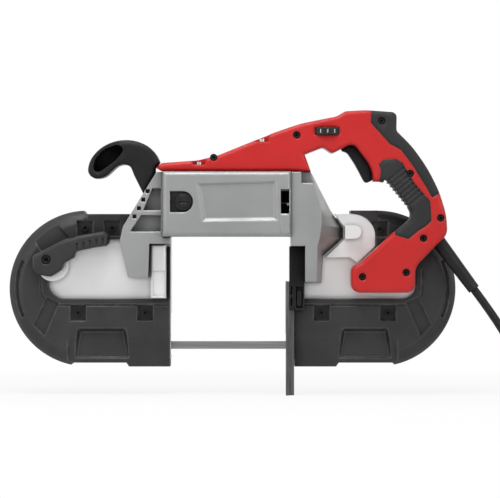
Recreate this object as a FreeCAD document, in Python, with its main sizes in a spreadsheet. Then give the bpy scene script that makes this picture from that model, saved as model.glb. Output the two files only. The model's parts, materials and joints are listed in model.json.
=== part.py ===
import FreeCAD, Part
import math
import os

from FreeCAD import Vector

# Portable band saw standing upright: +X along the tool towards the rear handle,
# +Y from the tension lever's side to the open wheel side, +Z up, z = 0 under the work shoe.
# All lengths are millimetres.

SIZES = {
    # wheels, blade and main frame
    "wheel_spacing": 320, "wheel_height": 117, "rim_radius": 78, "rim_wall": 3.5,
    "plate_front": 12, "plate_thickness": 8, "plate_skin": 2, "frame_depth": 38, "left_end": 92,
    "right_end": 96,
    "throat_left": "=left_end - wheel_spacing / 2", "throat_right": "=wheel_spacing / 2 - right_end",
    "beam_bottom": 174, "blade_gate": 90,
    "wheel_radius": 62.5, "wheel_width": 14, "wheel_middle": 35, "tyre_thickness": 4,
    "wheel_rim": 6, "wheel_web": 5, "hub_radius": 15, "wheel_hole": 13,
    "axle_radius": 6, "blade_width": 12.7, "blade_thickness": 0.9, "blade_gap": 0.3,
    "tooth_pitch": 2.5, "tooth_depth": 1,
    "twist_angle": 45, "twist_lead": 18, "running_gap": 0.05, "clearance": 0.3,
    # rubber bumpers round the two wheel ends
    "bumper_radius": 86, "bumper_front": 0, "bumper_fit": 0.3, "bumper_recess": 7,
    "bevel_wide": 14, "bevel_wide_depth": 4, "bevel_narrow": 5, "bevel_narrow_depth": 10,
    "slope_height": 32, "slope_depth": 7, "groove_depth": 2.5, "lip_depth": 1.2,
    "screw_pocket": 17.5, "screw_pocket_depth": 5, "screw_head_radius": 3.6, "screw_head_height": 3,
    "screw_radius": 2, "screw_length": 14,
    # motor housing, its front leg and the gear case
    "motor_overhang": 8, "motor_left": "=throat_left - motor_overhang",
    "motor_length": "=throat_right - motor_left",
    "motor_height": 71, "motor_depth": 62, "casting_round": 5, "panel_depth": 2.5, "block_height": 0.5,
    "motor_cavity": 27, "motor_end_wall": "=motor_length * 3 / 35",
    "motor_cavity_length": "=motor_length - motor_end_wall",
    "cap_recess": 2, "vent_depth": 8,
    "leg_depth": 48, "leg_width": 54.5, "leg_height": 115.5, "leg_pocket": 14, "vent_size": 4.4,
    "case_width": 58, "case_height": 127, "case_depth": 56, "case_drop": 51,
    "case_low": "=beam_bottom - case_drop",
    "case_pocket": 10,
    "cover_height": 8, "boss_height": 10,
    "post_width": 17.2, "post_height": 59.5, "post_depth": 26, "post_gap": 0.4, "post_bevel": 3,
    "post_recess": 2,
    "clamp_width": 3.8, "clamp_height": 57, "clamp_depth": 16,
    # motor
    "stator_radius": 26.8, "stator_bore": 18.5, "stator_length": "=motor_length * 13 / 35",
    "rotor_radius": 18,
    "rotor_length": "=motor_length * 27 / 70", "shaft_radius": 5, "commutator_radius": 12,
    "commutator_length": "=motor_length * 4 / 35",
    "fan_radius": 25, "fan_length": 9, "fan_web": 3, "fan_hub": 9, "bearing_width": 7, "bearing_radius": 9,
    "bush_radius": 9, "brush_size": 7, "brush_cap_radius": "=motor_length * 17 / 280",
    "brush_stem_radius": 5, "brush_stem": 8,
    # blade guides and work shoe
    "roller_radius": 5.5, "roller_pin_radius": 2.5, "guide_length": 16, "guide_height": 52, "guide_depth": 20,
    "guide_gap": 1.2, "roller_length": 9, "pin_depth": 4,
    "pin_head_radius": 4, "pin_head": 1.2, "shoe_gap": 1.8, "bracket_width": 16.3, "bracket_depth": 26,
    "bracket_top": 163.4, "bracket_height": 70, "bracket_pocket": 3, "shoe_height": 125,
    "shoe_thickness": 3.5,
    "shoe_front": -14, "shoe_back": 46, "shoe_step": 66, "shoe_travel": 38, "shoe_rib": 5.5,
    "shoe_rib_width": 18,
    "shoe_slot_width": 6.4,
    "shoe_screw_radius": 3, "shoe_screw_height": 115, "shoe_head_radius": 5.5, "shoe_head": 3,
    # handles, trigger and speed dial
    "handle_middle": -21, "handle_width": 40, "handle_overhang": 7,
    "handle_left": "=motor_left - handle_overhang",
    "handle_past_wheel": 74, "handle_loop": 158.5,
    "handle_length": "=wheel_spacing / 2 + handle_past_wheel - handle_left",
    "foot_below_wheel": 4, "handle_low": "=wheel_height - foot_below_wheel",
    "handle_rise": 67, "handle_height": "=beam_bottom + motor_height + handle_rise - handle_low",
    "handle_round": 4, "grip_skin": 4, "rib_pitch": 5, "rib_radius": 2.5, "rib_depth": 0.9, "rib_reach": 26,
    "scoop_radius": 8, "scoop_inset": 4, "scoop_height": 15,
    "trigger_width": 16, "trigger_gap": 0.5,
    "dial_radius": 20, "dial_thickness": 8, "dial_peek": 4.5, "dial_notch": 0.6,
    "handle_screw_radius": 4, "handle_screw_depth": 9,
    "hook_width": 34, "hook_length": 76, "hook_height": 57, "hook_hollow": 18, "hook_lift": 92,
    "hook_reach": 33,
    # blade tension lever and the idler's carrier
    "lever_beyond_wheel": 43.5, "lever_x": "=-wheel_spacing / 2 - lever_beyond_wheel",
    "lever_above_wheel": 32, "lever_z": "=wheel_height + lever_above_wheel",
    "lever_length": 84, "lever_height": 50, "lever_thickness": 22, "lever_rib_depth": 1.5, "lever_gap": 1.5,
    "lever_round": 4, "collar_radius": 17, "collar_across": 6, "collar_down": 7,
    "lever_bore": 5.5, "lever_bore_depth": 6, "cam_radius": 6,
    "cam_disc_radius": 9, "cam_offset": 4, "cam_clearance": 1, "carrier_thickness": 4, "carrier_gap": 0.4,
    "carrier_bar": 38, "nut_radius": 10, "nut_thickness": 4,
    # supply cord
    "cord_radius": 4.5, "relief_length": 72, "relief_wide": 8, "relief_narrow": 6.5,
    "coil_pitch": 9.8, "coil_outer": 60, "plug_length": 42, "plug_radius": 12,
    "prong_length": 18, "prong_width": 6.3, "prong_thickness": 1.5, "prong_spacing": 12.7,
    "tie_margin": 1.5, "tie_wall": 1, "tie_width": 12,
    "overrun": 1,
}

document = FreeCAD.newDocument("BandSaw")
sheet = document.addObject("Spreadsheet::Sheet", "Sizes")
for row, (alias, value) in enumerate(SIZES.items(), start=1):
    sheet.set("A%d" % row, alias)
    sheet.set("B%d" % row, str(value))
    sheet.setAlias("B%d" % row, alias)
document.recompute()

SUB_PARTS = []


def size(alias):
    """One driving dimension, read back from the sheet."""
    return float(sheet.get(alias))


TOUCHING = size("running_gap") / 10


def sub_part(thing, label):
    """Lists a finished object as one physical piece of the saw."""
    thing.Label = label
    SUB_PARTS.append(thing)
    return thing


def bind(thing, **expressions):
    """Ties properties of an object to cells of the sheet; a double underscore stands for a dot."""
    for name, expression in expressions.items():
        thing.setExpression(name.replace("__", "."), cells(expression))
    return thing


def cells(expression):
    """Writes each size's alias in an expression as a reference to the sheet."""
    words = []
    for word in expression.split():
        bare = word.strip("()-")
        words.append(word.replace(bare, "Sizes." + bare) if bare in SIZES else word)
    return " ".join(words)


def place(thing, x="0", y="0", z="0", turn=None):
    """Binds an object's place to the sheet, after an optional turn (axis, degrees)."""
    if turn:
        thing.Placement = FreeCAD.Placement(Vector(), FreeCAD.Rotation(*turn))
    return bind(thing, Placement__Base__x=x, Placement__Base__y=y, Placement__Base__z=z)


def rounded(points):
    """Straight runs and tangent corner arcs through points given as (x, z) or (x, z, corner radius).

    Two corners that would meet on a short run both get smaller.
    """
    corners = [Vector(point[0], point[1], 0) for point in points]
    radii = [point[2] if len(point) > 2 else 0 for point in points]
    count = len(corners)
    runs = [corners[(index + 1) % count] - corners[index] for index in range(count)]
    ways = [Vector(run).normalize() for run in runs]
    halves = [(math.pi - runs[index - 1].getAngle(runs[index])) / 2 for index in range(count)]
    reaches = [radius / math.tan(half) if radius else 0 for radius, half in zip(radii, halves)]
    wanted = [reaches[index] + reaches[(index + 1) % count] for index in range(count)]
    rooms = [run.Length / max(run.Length, both) for run, both in zip(runs, wanted)]
    ends = []
    for index, (corner, half) in enumerate(zip(corners, halves)):
        reach = reaches[index] * min(rooms[index - 1], rooms[index])
        before = ways[index - 1] * -reach
        after = ways[index] * reach
        radius = reach * math.tan(half)
        apex = corner
        if reach:
            apex = corner + (before + after).normalize() * (radius / math.sin(half) - radius)
        ends.append((corner + before, apex, corner + after))
    edges = []
    for index, (start, apex, end) in enumerate(ends):
        if start.distanceToPoint(end) > TOUCHING:
            edges.append(Part.Arc(start, apex, end))
        following = ends[(index + 1) % count][0]
        if end.distanceToPoint(following) > TOUCHING:
            edges.append(Part.LineSegment(end, following))
    return edges


def shares_in(left, low, width, height, shares):
    """Points given as shares of a piece's width and height, corner radii as shares of its height."""
    return [(left + s[0] * width, low + s[1] * height) + tuple(r * height for r in s[2:]) for s in shares]


def ring(x, z, radius):
    """A full circle for a sketch."""
    return [Part.Circle(Vector(x, z, 0), Vector(0, 0, 1), radius)]


def slot(x, low, high, width):
    """An upright slot with round ends."""
    half = width / 2
    corners = [(x - half, low, half), (x + half, low, half), (x + half, high, half), (x - half, high, half)]
    return rounded(corners)


PLANES = {"front": "XZ_Plane", "floor": "XY_Plane", "side": "YZ_Plane"}


def new_body(name, **where):
    body = document.addObject("PartDesign::Body", name)
    place(body, **where)
    return body


def draw(body, plane, outlines):
    """A sketch on one of the body's own planes; on the front plane x is X, y is Z and it faces -Y."""
    sketch = body.newObject("Sketcher::SketchObject", body.Name + "_sketch")
    support = [item for item in body.Origin.OriginFeatures if item.Role == PLANES[plane]][0]
    sketch.AttachmentSupport = [(support, "")]
    sketch.MapMode = "FlatFace"
    for outline in outlines:
        sketch.addGeometry(outline, False)
    return sketch


def pad(body, outlines, length, plane="front", reverse=False, offset=None):
    feature = body.newObject("PartDesign::Pad", body.Name + "_pad")
    feature.Profile = draw(body, plane, outlines)
    shift(feature.Profile[0], offset)
    feature.Reversed = reverse
    return bind(feature, Length=length)


def pocket(body, outlines, depth, plane="front", reverse=False, offset=None):
    """Cuts from the sketch's plane; a cut that removes nothing stops the build."""
    document.recompute()
    volume = body.Shape.Volume
    feature = body.newObject("PartDesign::Pocket", body.Name + "_pocket")
    feature.Profile = draw(body, plane, outlines)
    shift(feature.Profile[0], offset)
    feature.Reversed = reverse
    bind(feature, Length=depth)
    document.recompute()
    if body.Shape.Volume >= volume:
        raise RuntimeError("a cut missed " + body.Label)
    return feature


def shift(sketch, offset):
    """Moves a sketch along its own normal by an expression."""
    if offset:
        bind(sketch, AttachmentOffset__Base__z=offset)


def turned(name, outline, **where):
    """A solid of revolution about its own Y axis from an outline in (radius, y)."""
    body = new_body(name, **where)
    sketch = draw(body, "floor", [outline])
    feature = body.newObject("PartDesign::Revolution", name + "_turned")
    feature.Profile = sketch
    feature.ReferenceAxis = (sketch, ["V_Axis"])
    feature.Angle = 360
    return body


def group(name, shapes):
    """A node made of several separate solids, or of one solid that lofts or sweeps make."""
    feature = document.addObject("Part::Feature", name)
    feature.Shape = shapes[0] if len(shapes) == 1 else Part.makeCompound(shapes)
    return sub_part(feature, name)


def prism(points, front, depth):
    """A straight prism of an outline on the front plane, from y = front towards the back."""
    wire = Part.Wire([edge.toShape() for edge in rounded(points)])
    face = Part.Face(wire)
    face.rotate(Vector(), Vector(1, 0, 0), 90)
    face.translate(Vector(0, front, 0))
    return face.extrude(Vector(0, depth, 0))


WHEEL_X = size("wheel_spacing") / 2
WHEEL_Z = size("wheel_height")
PLATE_BACK = size("plate_front") + size("plate_thickness")
BEARING_FRONT = size("plate_front") + size("plate_skin")
THROAT_LEFT = size("throat_left")
THROAT_RIGHT = size("throat_right")
BEAM_BOTTOM = size("beam_bottom")


def frame_outline(inset):
    """Outline of the frame: two round wheel ends joined by a beam over the throat, drawn in by an inset."""
    radius = size("rim_radius") - inset
    left = -WHEEL_X - radius
    low = WHEEL_Z - radius
    high = WHEEL_Z + radius
    throat_left = THROAT_LEFT - inset
    throat_right = THROAT_RIGHT + inset
    beam = BEAM_BOTTOM + inset
    return rounded([
        (throat_left, low), (left, low, radius), (left, high, radius), (-left, high, radius),
        (-left, low, radius), (throat_right, low), (throat_right, beam), (throat_left, beam),
    ])


def box(left, low, right, high):
    return rounded([(left, low), (right, low), (right, high), (left, high)])


def main_frame():
    """One casting: the plate that carries everything, with a rim wall round the open wheel side."""
    body = new_body("main_frame", y="plate_front")
    pad(body, [frame_outline(0)], "frame_depth", reverse=True)
    pocket(body, [frame_outline(size("rim_wall"))], "frame_depth", offset="-plate_thickness")
    wall = size("rim_wall") + size("overrun")
    low = WHEEL_Z - size("rim_radius") + size("rim_wall")
    gates = [
        box(THROAT_LEFT - wall, low, THROAT_LEFT + wall, size("blade_gate")),
        box(THROAT_RIGHT - wall, low, THROAT_RIGHT + wall, size("blade_gate")),
    ]
    pocket(body, gates, "frame_depth", offset="-plate_thickness")
    holes = [
        ring(size("lever_x"), size("lever_z"), size("cam_radius") + size("running_gap")),
    ]
    holes += [ring(x, z, size("screw_radius")) for x, z in BUMPER_SCREWS["left"] + BUMPER_SCREWS["right"]]
    pocket(body, holes, "plate_thickness + overrun", offset="overrun")
    pocket(body, [ring(WHEEL_X, WHEEL_Z, size("bush_radius"))], "plate_thickness", offset="-plate_skin")
    return sub_part(body, "main_frame")


def wheel(name, side):
    """A spoked-looking cast wheel: hub, thin web with round holes, and a rim for the rubber tyre."""
    half = size("wheel_width") / 2
    web = size("wheel_web") / 2
    bore = size("bush_radius")
    rim_out = size("wheel_radius") - size("tyre_thickness")
    rim_in = rim_out - size("wheel_rim")
    hub = size("hub_radius")
    profile = rounded([
        (bore, -half), (hub, -half), (hub, -web), (rim_in, -web), (rim_in, -half), (rim_out, -half),
        (rim_out, half), (rim_in, half), (rim_in, web), (hub, web), (hub, half), (bore, half),
    ])
    body = turned(name, profile, x=side + "wheel_spacing / 2", y="wheel_middle", z="wheel_height")
    reach = (hub + rim_in) / 2
    turns = [2 * math.pi * step / WEB_HOLES for step in range(WEB_HOLES)]
    holes = [ring(reach * math.cos(turn), reach * math.sin(turn), size("wheel_hole")) for turn in turns]
    pocket(body, holes, "2 * wheel_width", offset="wheel_width")
    return sub_part(body, name)


def tyre(name, side):
    """The rubber tyre that the blade runs on."""
    half = size("wheel_width") / 2
    outer = size("wheel_radius")
    inner = outer - size("tyre_thickness")
    profile = rounded([(inner, -half), (outer, -half), (outer, half), (inner, half)])
    body = turned(name, profile, x=side + "wheel_spacing / 2", y="wheel_middle", z="wheel_height")
    return sub_part(body, name)


def blade_section(x, angle):
    """The blade's cross-section at one place along the lower run, turned by the twist so far."""
    across = Vector(0, math.cos(angle), -math.sin(angle)) * (size("blade_width") / 2)
    through = Vector(0, math.sin(angle), math.cos(angle)) * (size("blade_thickness") / 2)
    middle = Vector(x, size("wheel_middle"), BLADE_Z)
    corners = [middle - across - through, middle + across - through, middle + across + through,
               middle - across + through]
    return Part.makePolygon(corners + corners[:1])


def blade_half_turn(x, start):
    """The stretch of blade that lies round one wheel."""
    low = Vector(x, size("wheel_middle") - size("blade_width") / 2, WHEEL_Z)
    inner = size("wheel_radius") + size("blade_gap")
    around = Part.makeCylinder(inner + size("blade_thickness"), size("blade_width"), low, Vector(0, 1, 0), 180)
    around = around.cut(Part.makeCylinder(inner, size("blade_width"), low, Vector(0, 1, 0), 180))
    around.rotate(low, Vector(0, 1, 0), start)
    return around


def blade():
    """An endless toothed band: round both wheels, straight above, twisted towards the cut below."""
    width = size("blade_width")
    thickness = size("blade_thickness")
    twist = math.radians(size("twist_angle"))
    straight = [THROAT_LEFT - GUIDE_REACH, THROAT_RIGHT + GUIDE_REACH]
    pieces = [blade_half_turn(-WHEEL_X, LEFT_HALF_TURN), blade_half_turn(WHEEL_X, -LEFT_HALF_TURN)]
    top = Part.makeBox(size("wheel_spacing"), width, thickness)
    top.translate(Vector(-WHEEL_X, size("wheel_middle") - width / 2, 2 * WHEEL_Z - BLADE_Z - thickness / 2))
    pieces.append(top)
    for wheel_x, guide_x in zip([-WHEEL_X, WHEEL_X], straight):
        steps = [step / TWIST_STEPS for step in range(TWIST_STEPS + 1)]
        lead_x = wheel_x + math.copysign(size("twist_lead"), guide_x - wheel_x)
        sections = [blade_section(wheel_x, 0)]
        sections += [blade_section(lead_x + (guide_x - lead_x) * share, twist * share) for share in steps]
        pieces.append(Part.makeLoft(sections, True, True))
    pieces.append(toothed_run(straight[0], straight[1]))
    band = pieces[0].multiFuse(pieces[1:]).removeSplitter()
    return group("blade", band.Solids)


def toothed_run(start, end):
    """The straight stretch between the guides, with its row of teeth facing down into the cut."""
    edge = size("blade_width") / 2
    gullet = edge - size("tooth_depth")
    count = round((end - start) / size("tooth_pitch"))
    pitch = (end - start) / count
    points = [Vector(end, -edge, 0), Vector(start, -edge, 0), Vector(start, gullet, 0)]
    for tooth in range(count):
        tip = start + pitch * (tooth + 1)
        points += [Vector(tip, edge, 0), Vector(tip, gullet, 0)]
    run = Part.Face(Part.makePolygon(points + points[:1])).extrude(Vector(0, 0, size("blade_thickness")))
    run.translate(Vector(0, 0, -size("blade_thickness") / 2))
    run.rotate(Vector(), Vector(1, 0, 0), -size("twist_angle"))
    run.translate(Vector(0, size("wheel_middle"), BLADE_Z))
    return run


def bevel_end(body, side):
    """Turns the two bevels of a bumper's round end, half a turn about the wheel's axis."""
    radius = size("bumper_radius")
    centre = side * WHEEL_X
    beyond = radius + size("overrun")
    profile = [
        (radius - size("bevel_wide"), -size("overrun")), (radius - size("bevel_wide"), 0),
        (radius - size("bevel_narrow"), size("bevel_wide_depth")), (radius, size("bevel_narrow_depth")),
        (beyond, size("bevel_narrow_depth")), (beyond, -size("overrun")),
    ]
    sketch = draw(body, "floor", [rounded([(centre + side * reach, y) for reach, y in profile])])
    sketch.addGeometry(Part.LineSegment(Vector(centre, 0, 0), Vector(centre, radius, 0)), True)
    shift(sketch, "wheel_height")
    groove = body.newObject("PartDesign::Groove", body.Name + "_bevel")
    groove.Profile = sketch
    groove.ReferenceAxis = (sketch, ["Axis0"])
    groove.Angle = 180
    groove.Midplane = True


def arc_band(x, z, inner, outer, turn):
    """A band between two radii, from one angle down to its mirror image."""
    def at(radius, angle):
        return Vector(x + radius * math.cos(angle), z + abs(radius) * math.sin(angle), 0)
    return [
        Part.Arc(at(outer, -turn), at(outer, 0), at(outer, turn)),
        Part.LineSegment(at(outer, turn), at(inner, turn)),
        Part.Arc(at(inner, turn), at(inner, 0), at(inner, -turn)),
        Part.LineSegment(at(inner, -turn), at(outer, -turn)),
    ]


def bumper(name, side, shares, notches, shelves, recess_shares, lip_shares, screws, reliefs):
    """A moulded rubber bumper: a bevelled front with a window for the plate, and a skirt round the rim."""
    radius = size("bumper_radius")
    centre = side * WHEEL_X
    body = new_body(name, y="bumper_front")

    def around_wheel(points):
        return rounded(shares_in(centre, WHEEL_Z, radius, radius, points))

    pad(body, [around_wheel(shares)], "plate_front + frame_depth - bumper_front", reverse=True)
    bevel_end(body, side)
    pocket(body, [frame_outline(-size("bumper_fit"))], "frame_depth + bumper_fit + overrun",
           offset="-(plate_front - bumper_front - bumper_fit)")
    low = WHEEL_Z - radius - size("overrun")
    slope = size("slope_depth") / size("slope_height") * (size("slope_height") + size("overrun"))
    wedge = rounded([(0, low), (slope, low), (0, low + size("slope_height") + size("overrun"))])
    start = SLOPE_STARTS[side]
    pocket(body, [wedge], "2 * bumper_radius", plane="side", reverse=side < 0, offset=start)
    pocket(body, [around_wheel(shares) for shares in notches], "plate_front + frame_depth + 2 * overrun",
           offset="overrun")
    pocket(body, [around_wheel(shares) for shares in shelves], "groove_depth + overrun", offset="overrun")
    recess = pocket(body, [around_wheel(recess_shares)], "bumper_recess + overrun", offset="overrun")
    recess.TaperAngle = RECESS_TAPER
    radial_slot = around_wheel([(side * x, z) for x, z in RADIAL_SLOT_SHARES])
    pocket(body, [radial_slot], "groove_depth + overrun", offset="overrun")
    band = arc_band(centre, WHEEL_Z, side * BAND_SHARES[0] * radius, side * BAND_SHARES[1] * radius, BAND_TURN)
    pocket(body, [band], "bevel_wide_depth + groove_depth / 2 + overrun", offset="overrun")
    pocket(body, [around_wheel(lip_shares)], "lip_depth + overrun", offset="overrun")
    half = size("screw_pocket") / 2
    seats = [box(x - half, z - half, x + half, z + half) for x, z in screws]
    pocket(body, seats, "screw_pocket_depth + overrun", offset="overrun")
    holes = [ring(x, z, size("screw_radius")) for x, z in screws] + reliefs
    pocket(body, holes, "plate_front + overrun", offset="overrun")
    return sub_part(body, name)


def bumper_screws(name, screws):
    """Socket-head screws that hold a bumper to the plate."""
    seat = size("bumper_front") + size("screw_pocket_depth")
    shapes = []
    for x, z in screws:
        head = Part.makeCylinder(size("screw_head_radius"), size("screw_head_height"),
                                 Vector(x, seat - size("screw_head_height"), z), Vector(0, 1, 0))
        shank = Part.makeCylinder(size("screw_radius"), size("screw_length"),
                                  Vector(x, seat, z), Vector(0, 1, 0))
        socket = Part.makeCylinder(size("screw_radius"), size("screw_radius"),
                                   Vector(x, seat - size("screw_head_height"), z), Vector(0, 1, 0))
        shapes.append(head.fuse(shank).cut(socket).removeSplitter())
    return group(name, shapes)


WEB_HOLES = 5
TWIST_STEPS = 5
LEFT_HALF_TURN = 180
GUIDE_SHARE = 1.5
GUIDE_REACH = GUIDE_SHARE * size("guide_length")
BLADE_Z = WHEEL_Z - size("wheel_radius") - size("blade_gap") - size("blade_thickness") / 2
MOTOR_Y = size("plate_front") - size("motor_depth") / 2
MOTOR_Z = BEAM_BOTTOM + size("motor_height") / 2
MOTOR_RIGHT = size("motor_left") + size("motor_length")

LEFT_BUMPER_SHARES = [
    (1.06, -0.13), (1.06, -1), (-1, -1, 1), (-1, 1, 1), (0.56, 1), (0.465, 0.8),
    (0.43, 0.63), (-0.09, 0.615), (-0.47, 0.45, 0.15), (-0.51, -0.13, 0.2),
]
LEFT_FOOT_SHARES = [(-0.29, -1.1), (-0.19, -0.95), (0.5, -0.95), (0.6, -1.1)]
LEFT_TOP_SHARES = [(-0.12, 1.1), (-0.02, 0.955), (0.6, 0.955), (0.6, 1.1)]
LEFT_PANEL_SHARES = [(-0.42, 0.874), (-0.218, 0.656), (-0.585, 0.467), (-0.7, 0.675)]
LEFT_SHELF_SHARES = [(-0.13, 1.1), (-0.114, 0.972), (0.09, 0.7), (0.09, 0.5), (0.7, 0.5), (0.7, 1.1)]
LEFT_RECESS_SHARES = [(-0.13, -0.5), (0.5, -0.5), (0.58, -0.93), (-0.2, -0.93)]
LEFT_LIP_SHARES = [
    (1.1, -0.2), (-0.58, -0.2, 0.2), (-0.58, 0.4), (-0.6, 0.4), (-0.6, -0.22, 0.22), (1.1, -0.22),
]
LEFT_SCREW_SHARES = [(-0.03, 0.77), (0.32, 0.77), (-0.115, -0.31), (0.744, -0.31)]

RIGHT_BUMPER_SHARES = [
    (-1.064, -0.28), (-1.064, -1), (1, -1, 1), (1, 1, 1), (-0.35, 1),
    (-0.35, 0.965), (-0.026, 0.965, 0.3), (-0.026, 0.45), (0.49, 0.3), (0.49, -0.13, 0.17), (-0.94, -0.13),
    (-0.94, -0.28),
]
RIGHT_FOOT_SHARES = [(-0.6, -1.1), (-0.5, -0.95), (0.2, -0.95), (0.29, -1.1)]
RIGHT_SHELF_SHARES = [(0.1, 1.1), (0.086, 0.987), (-0.05, 0.76), (-0.5, 0.76), (-0.5, 1.1)]
RIGHT_RECESS_SHARES = [(-0.46, -0.5), (0.13, -0.5), (0.22, -0.93), (-0.55, -0.93)]
RIGHT_LIP_SHARES = [
    (-0.98, -0.2), (0.56, -0.2, 0.2), (0.56, 0.25), (0.58, 0.25), (0.58, -0.22, 0.22), (-0.98, -0.22),
]
RIGHT_SCREW_SHARES = [(0.03, 0.76), (-0.72, -0.31), (0.128, -0.31)]

RADIAL_SLOT_SHARES = [(0.357, -0.177), (0.512, -0.108), (0.682, -0.465), (0.543, -0.604)]
BAND_SHARES = (0.87, 0.92)
RECESS_TAPER = -30
BAND_TURN = math.radians(24)
SLOPE_STARTS = {-1: "-wheel_spacing / 2 - bumper_radius / 4", 1: "wheel_spacing / 2 + bumper_radius / 4"}


def bumper_places(side, shares):
    points = shares_in(side * WHEEL_X, WHEEL_Z, size("bumper_radius"), size("bumper_radius"), shares)
    return [(x, z) for x, z in points]


COLLAR_X = size("lever_x") + size("collar_across")
COLLAR_Z = size("lever_z") - size("collar_down")
BUMPER_SCREWS = {
    "left": bumper_places(-1, LEFT_SCREW_SHARES),
    "right": bumper_places(1, RIGHT_SCREW_SHARES),
}

TURN_TO_X = (Vector(0, 0, 1), -90)
MOTOR_TOP = BEAM_BOTTOM + size("motor_height")
LEG_BESIDE_SHARE = 0.85
LEG_LEFT = size("motor_left") - LEG_BESIDE_SHARE * size("leg_width")
LEG_LOW = MOTOR_TOP - size("leg_height")
SLOPE = math.radians(size("twist_angle"))
ACROSS = Vector(0, math.cos(SLOPE), -math.sin(SLOPE))
THROUGH = Vector(0, math.sin(SLOPE), math.cos(SLOPE))
FAN_VANES = 8

PANEL_SHARES = [(0.264, 0.818), (0.886, 0.85), (0.894, 0.245), (0.312, 0.23)]
PANEL_FLOOR_SHARES = [(0.298, 0.775), (0.858, 0.806), (0.862, 0.29), (0.336, 0.277)]
BLOCK_SHARES = [(0.918, 0.06), (0.985, 0.06), (0.985, 0.335), (0.918, 0.335)]
CAP_RECESS_SHARES = [(0.06, 0.37), (0.24, 0.37, 0.16), (0.24, 0.695, 0.16), (0.06, 0.695)]
CAP_PLATE_SHARES = [(0.064, 0.376), (0.236, 0.376, 0.15), (0.236, 0.689, 0.15), (0.064, 0.689)]
CAP_PLACE_SHARES = [(0.165, 0.53)]
VENT_SHARES = [(0.918, 0.353), (0.985, 0.353), (0.985, 0.725), (0.918, 0.725)]
LEG_SHARES = [
    (0.727, 0.995), (0.85, 0.995), (0.85, 0.376), (1, 0.376), (1, 0.319), (0.583, 0.319), (0.556, 0),
    (0.162, 0, 0.02), (0, 0.348, 0.05), (0.061, 0.481, 0.05),
]
LEG_UPPER_POCKET_SHARES = [(0.65, 0.843), (0.82, 0.843), (0.82, 0.633), (0.465, 0.633)]
LEG_LOWER_POCKET_SHARES = [(0.424, 0.59), (0.82, 0.59), (0.82, 0.433), (0.202, 0.433)]
LEG_VENT_SHARES = [(0.557, 0.814), (0.469, 0.733), (0.382, 0.652), (0.293, 0.576)]
CASE_BACK_SHARES = [
    (0, 0.955), (0.4, 0.955), (0.755, 0.635), (1, 0.478), (1, 0.391), (0.62, 0.235), (0.585, 0), (0.264, 0),
    (0.264, 0.322), (0, 0.322),
]
CASE_FRONT_SHARES = [
    (0, 0.955), (0.36, 0.955), (0.566, 0.635), (0.566, 0.504), (0.53, 0.391), (0.49, 0.322), (0.47, 0.017),
    (0.264, 0.017), (0.264, 0.322), (0, 0.322),
]
COVER_SHARES = [
    (0.83, 0.6), (1.61, 0.6, 0.2), (1.61, 0.322), (1.264, 0.174), (1.132, 0.222), (0.66, 0.222),
    (1.025, 0.383),
    (1.025, 0.483),
]
CASE_POCKET_SHARES = [(0.186, 0.859), (0.46, 0.859), (0.46, 1), (0.186, 1)]
BOSS_SHARES = [(1.025, 0.383), (1.34, 0.383, 0.058), (1.34, 0.5, 0.058), (1.025, 0.5)]
POST_RECESS_SHARES = [(0.15, 0.045), (0.94, 0.045), (0.94, 0.51), (0.15, 0.51)]
BRACKET_WINDOW_SHARES = [
    [(0.06, 0.24), (0.21, 0.24), (0.21, 0.38), (0.06, 0.38)],
    [(0.06, 0.06), (0.21, 0.06), (0.21, 0.2), (0.06, 0.2)],
    [(0.42, 0.03), (0.92, 0.03), (0.92, 0.38), (0.42, 0.38)],
]
BRACKET_PIN_SHARES = [(0.53, 0.07, 0.02), (0.77, 0.07, 0.02), (0.77, 0.3, 0.02), (0.53, 0.3, 0.02)]
FAN_PLACE_SHARE = 1.5


def in_motor(shares):
    return shares_in(size("motor_left"), BEAM_BOTTOM, size("motor_length"), size("motor_height"), shares)


def in_leg(shares):
    return shares_in(LEG_LEFT, LEG_LOW, size("leg_width"), size("leg_height"), shares)


def in_case(shares):
    return shares_in(MOTOR_RIGHT, size("case_low"), size("case_width"), size("case_height"), shares)


CAP_X, CAP_Z = in_motor(CAP_PLACE_SHARES)[0]
POST_TOP = in_leg(LEG_SHARES)[4][1] - size("post_gap")
CLAMP_LEFT = THROAT_LEFT - 2 * size("clearance") - size("clamp_width")
SHOE_RIGHT = THROAT_RIGHT - size("shoe_gap")
SHOE_LEFT = SHOE_RIGHT - size("shoe_thickness")
GUIDE_IN = size("rim_wall") + size("clearance") + size("overrun") + size("guide_length") / 2


def round_front(body, radius):
    """Rounds the edges all along a body's front face."""
    document.recompute()
    front = body.Shape.BoundBox.YMin
    names = []
    for number, edge in enumerate(body.Shape.Edges, start=1):
        if edge.BoundBox.YMax - front < size("clearance"):
            names.append("Edge%d" % number)
    base = body.Tip
    feature = body.newObject("PartDesign::Fillet", body.Name + "_round")
    feature.Base = (base, names)
    bind(feature, Radius=radius)


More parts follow.
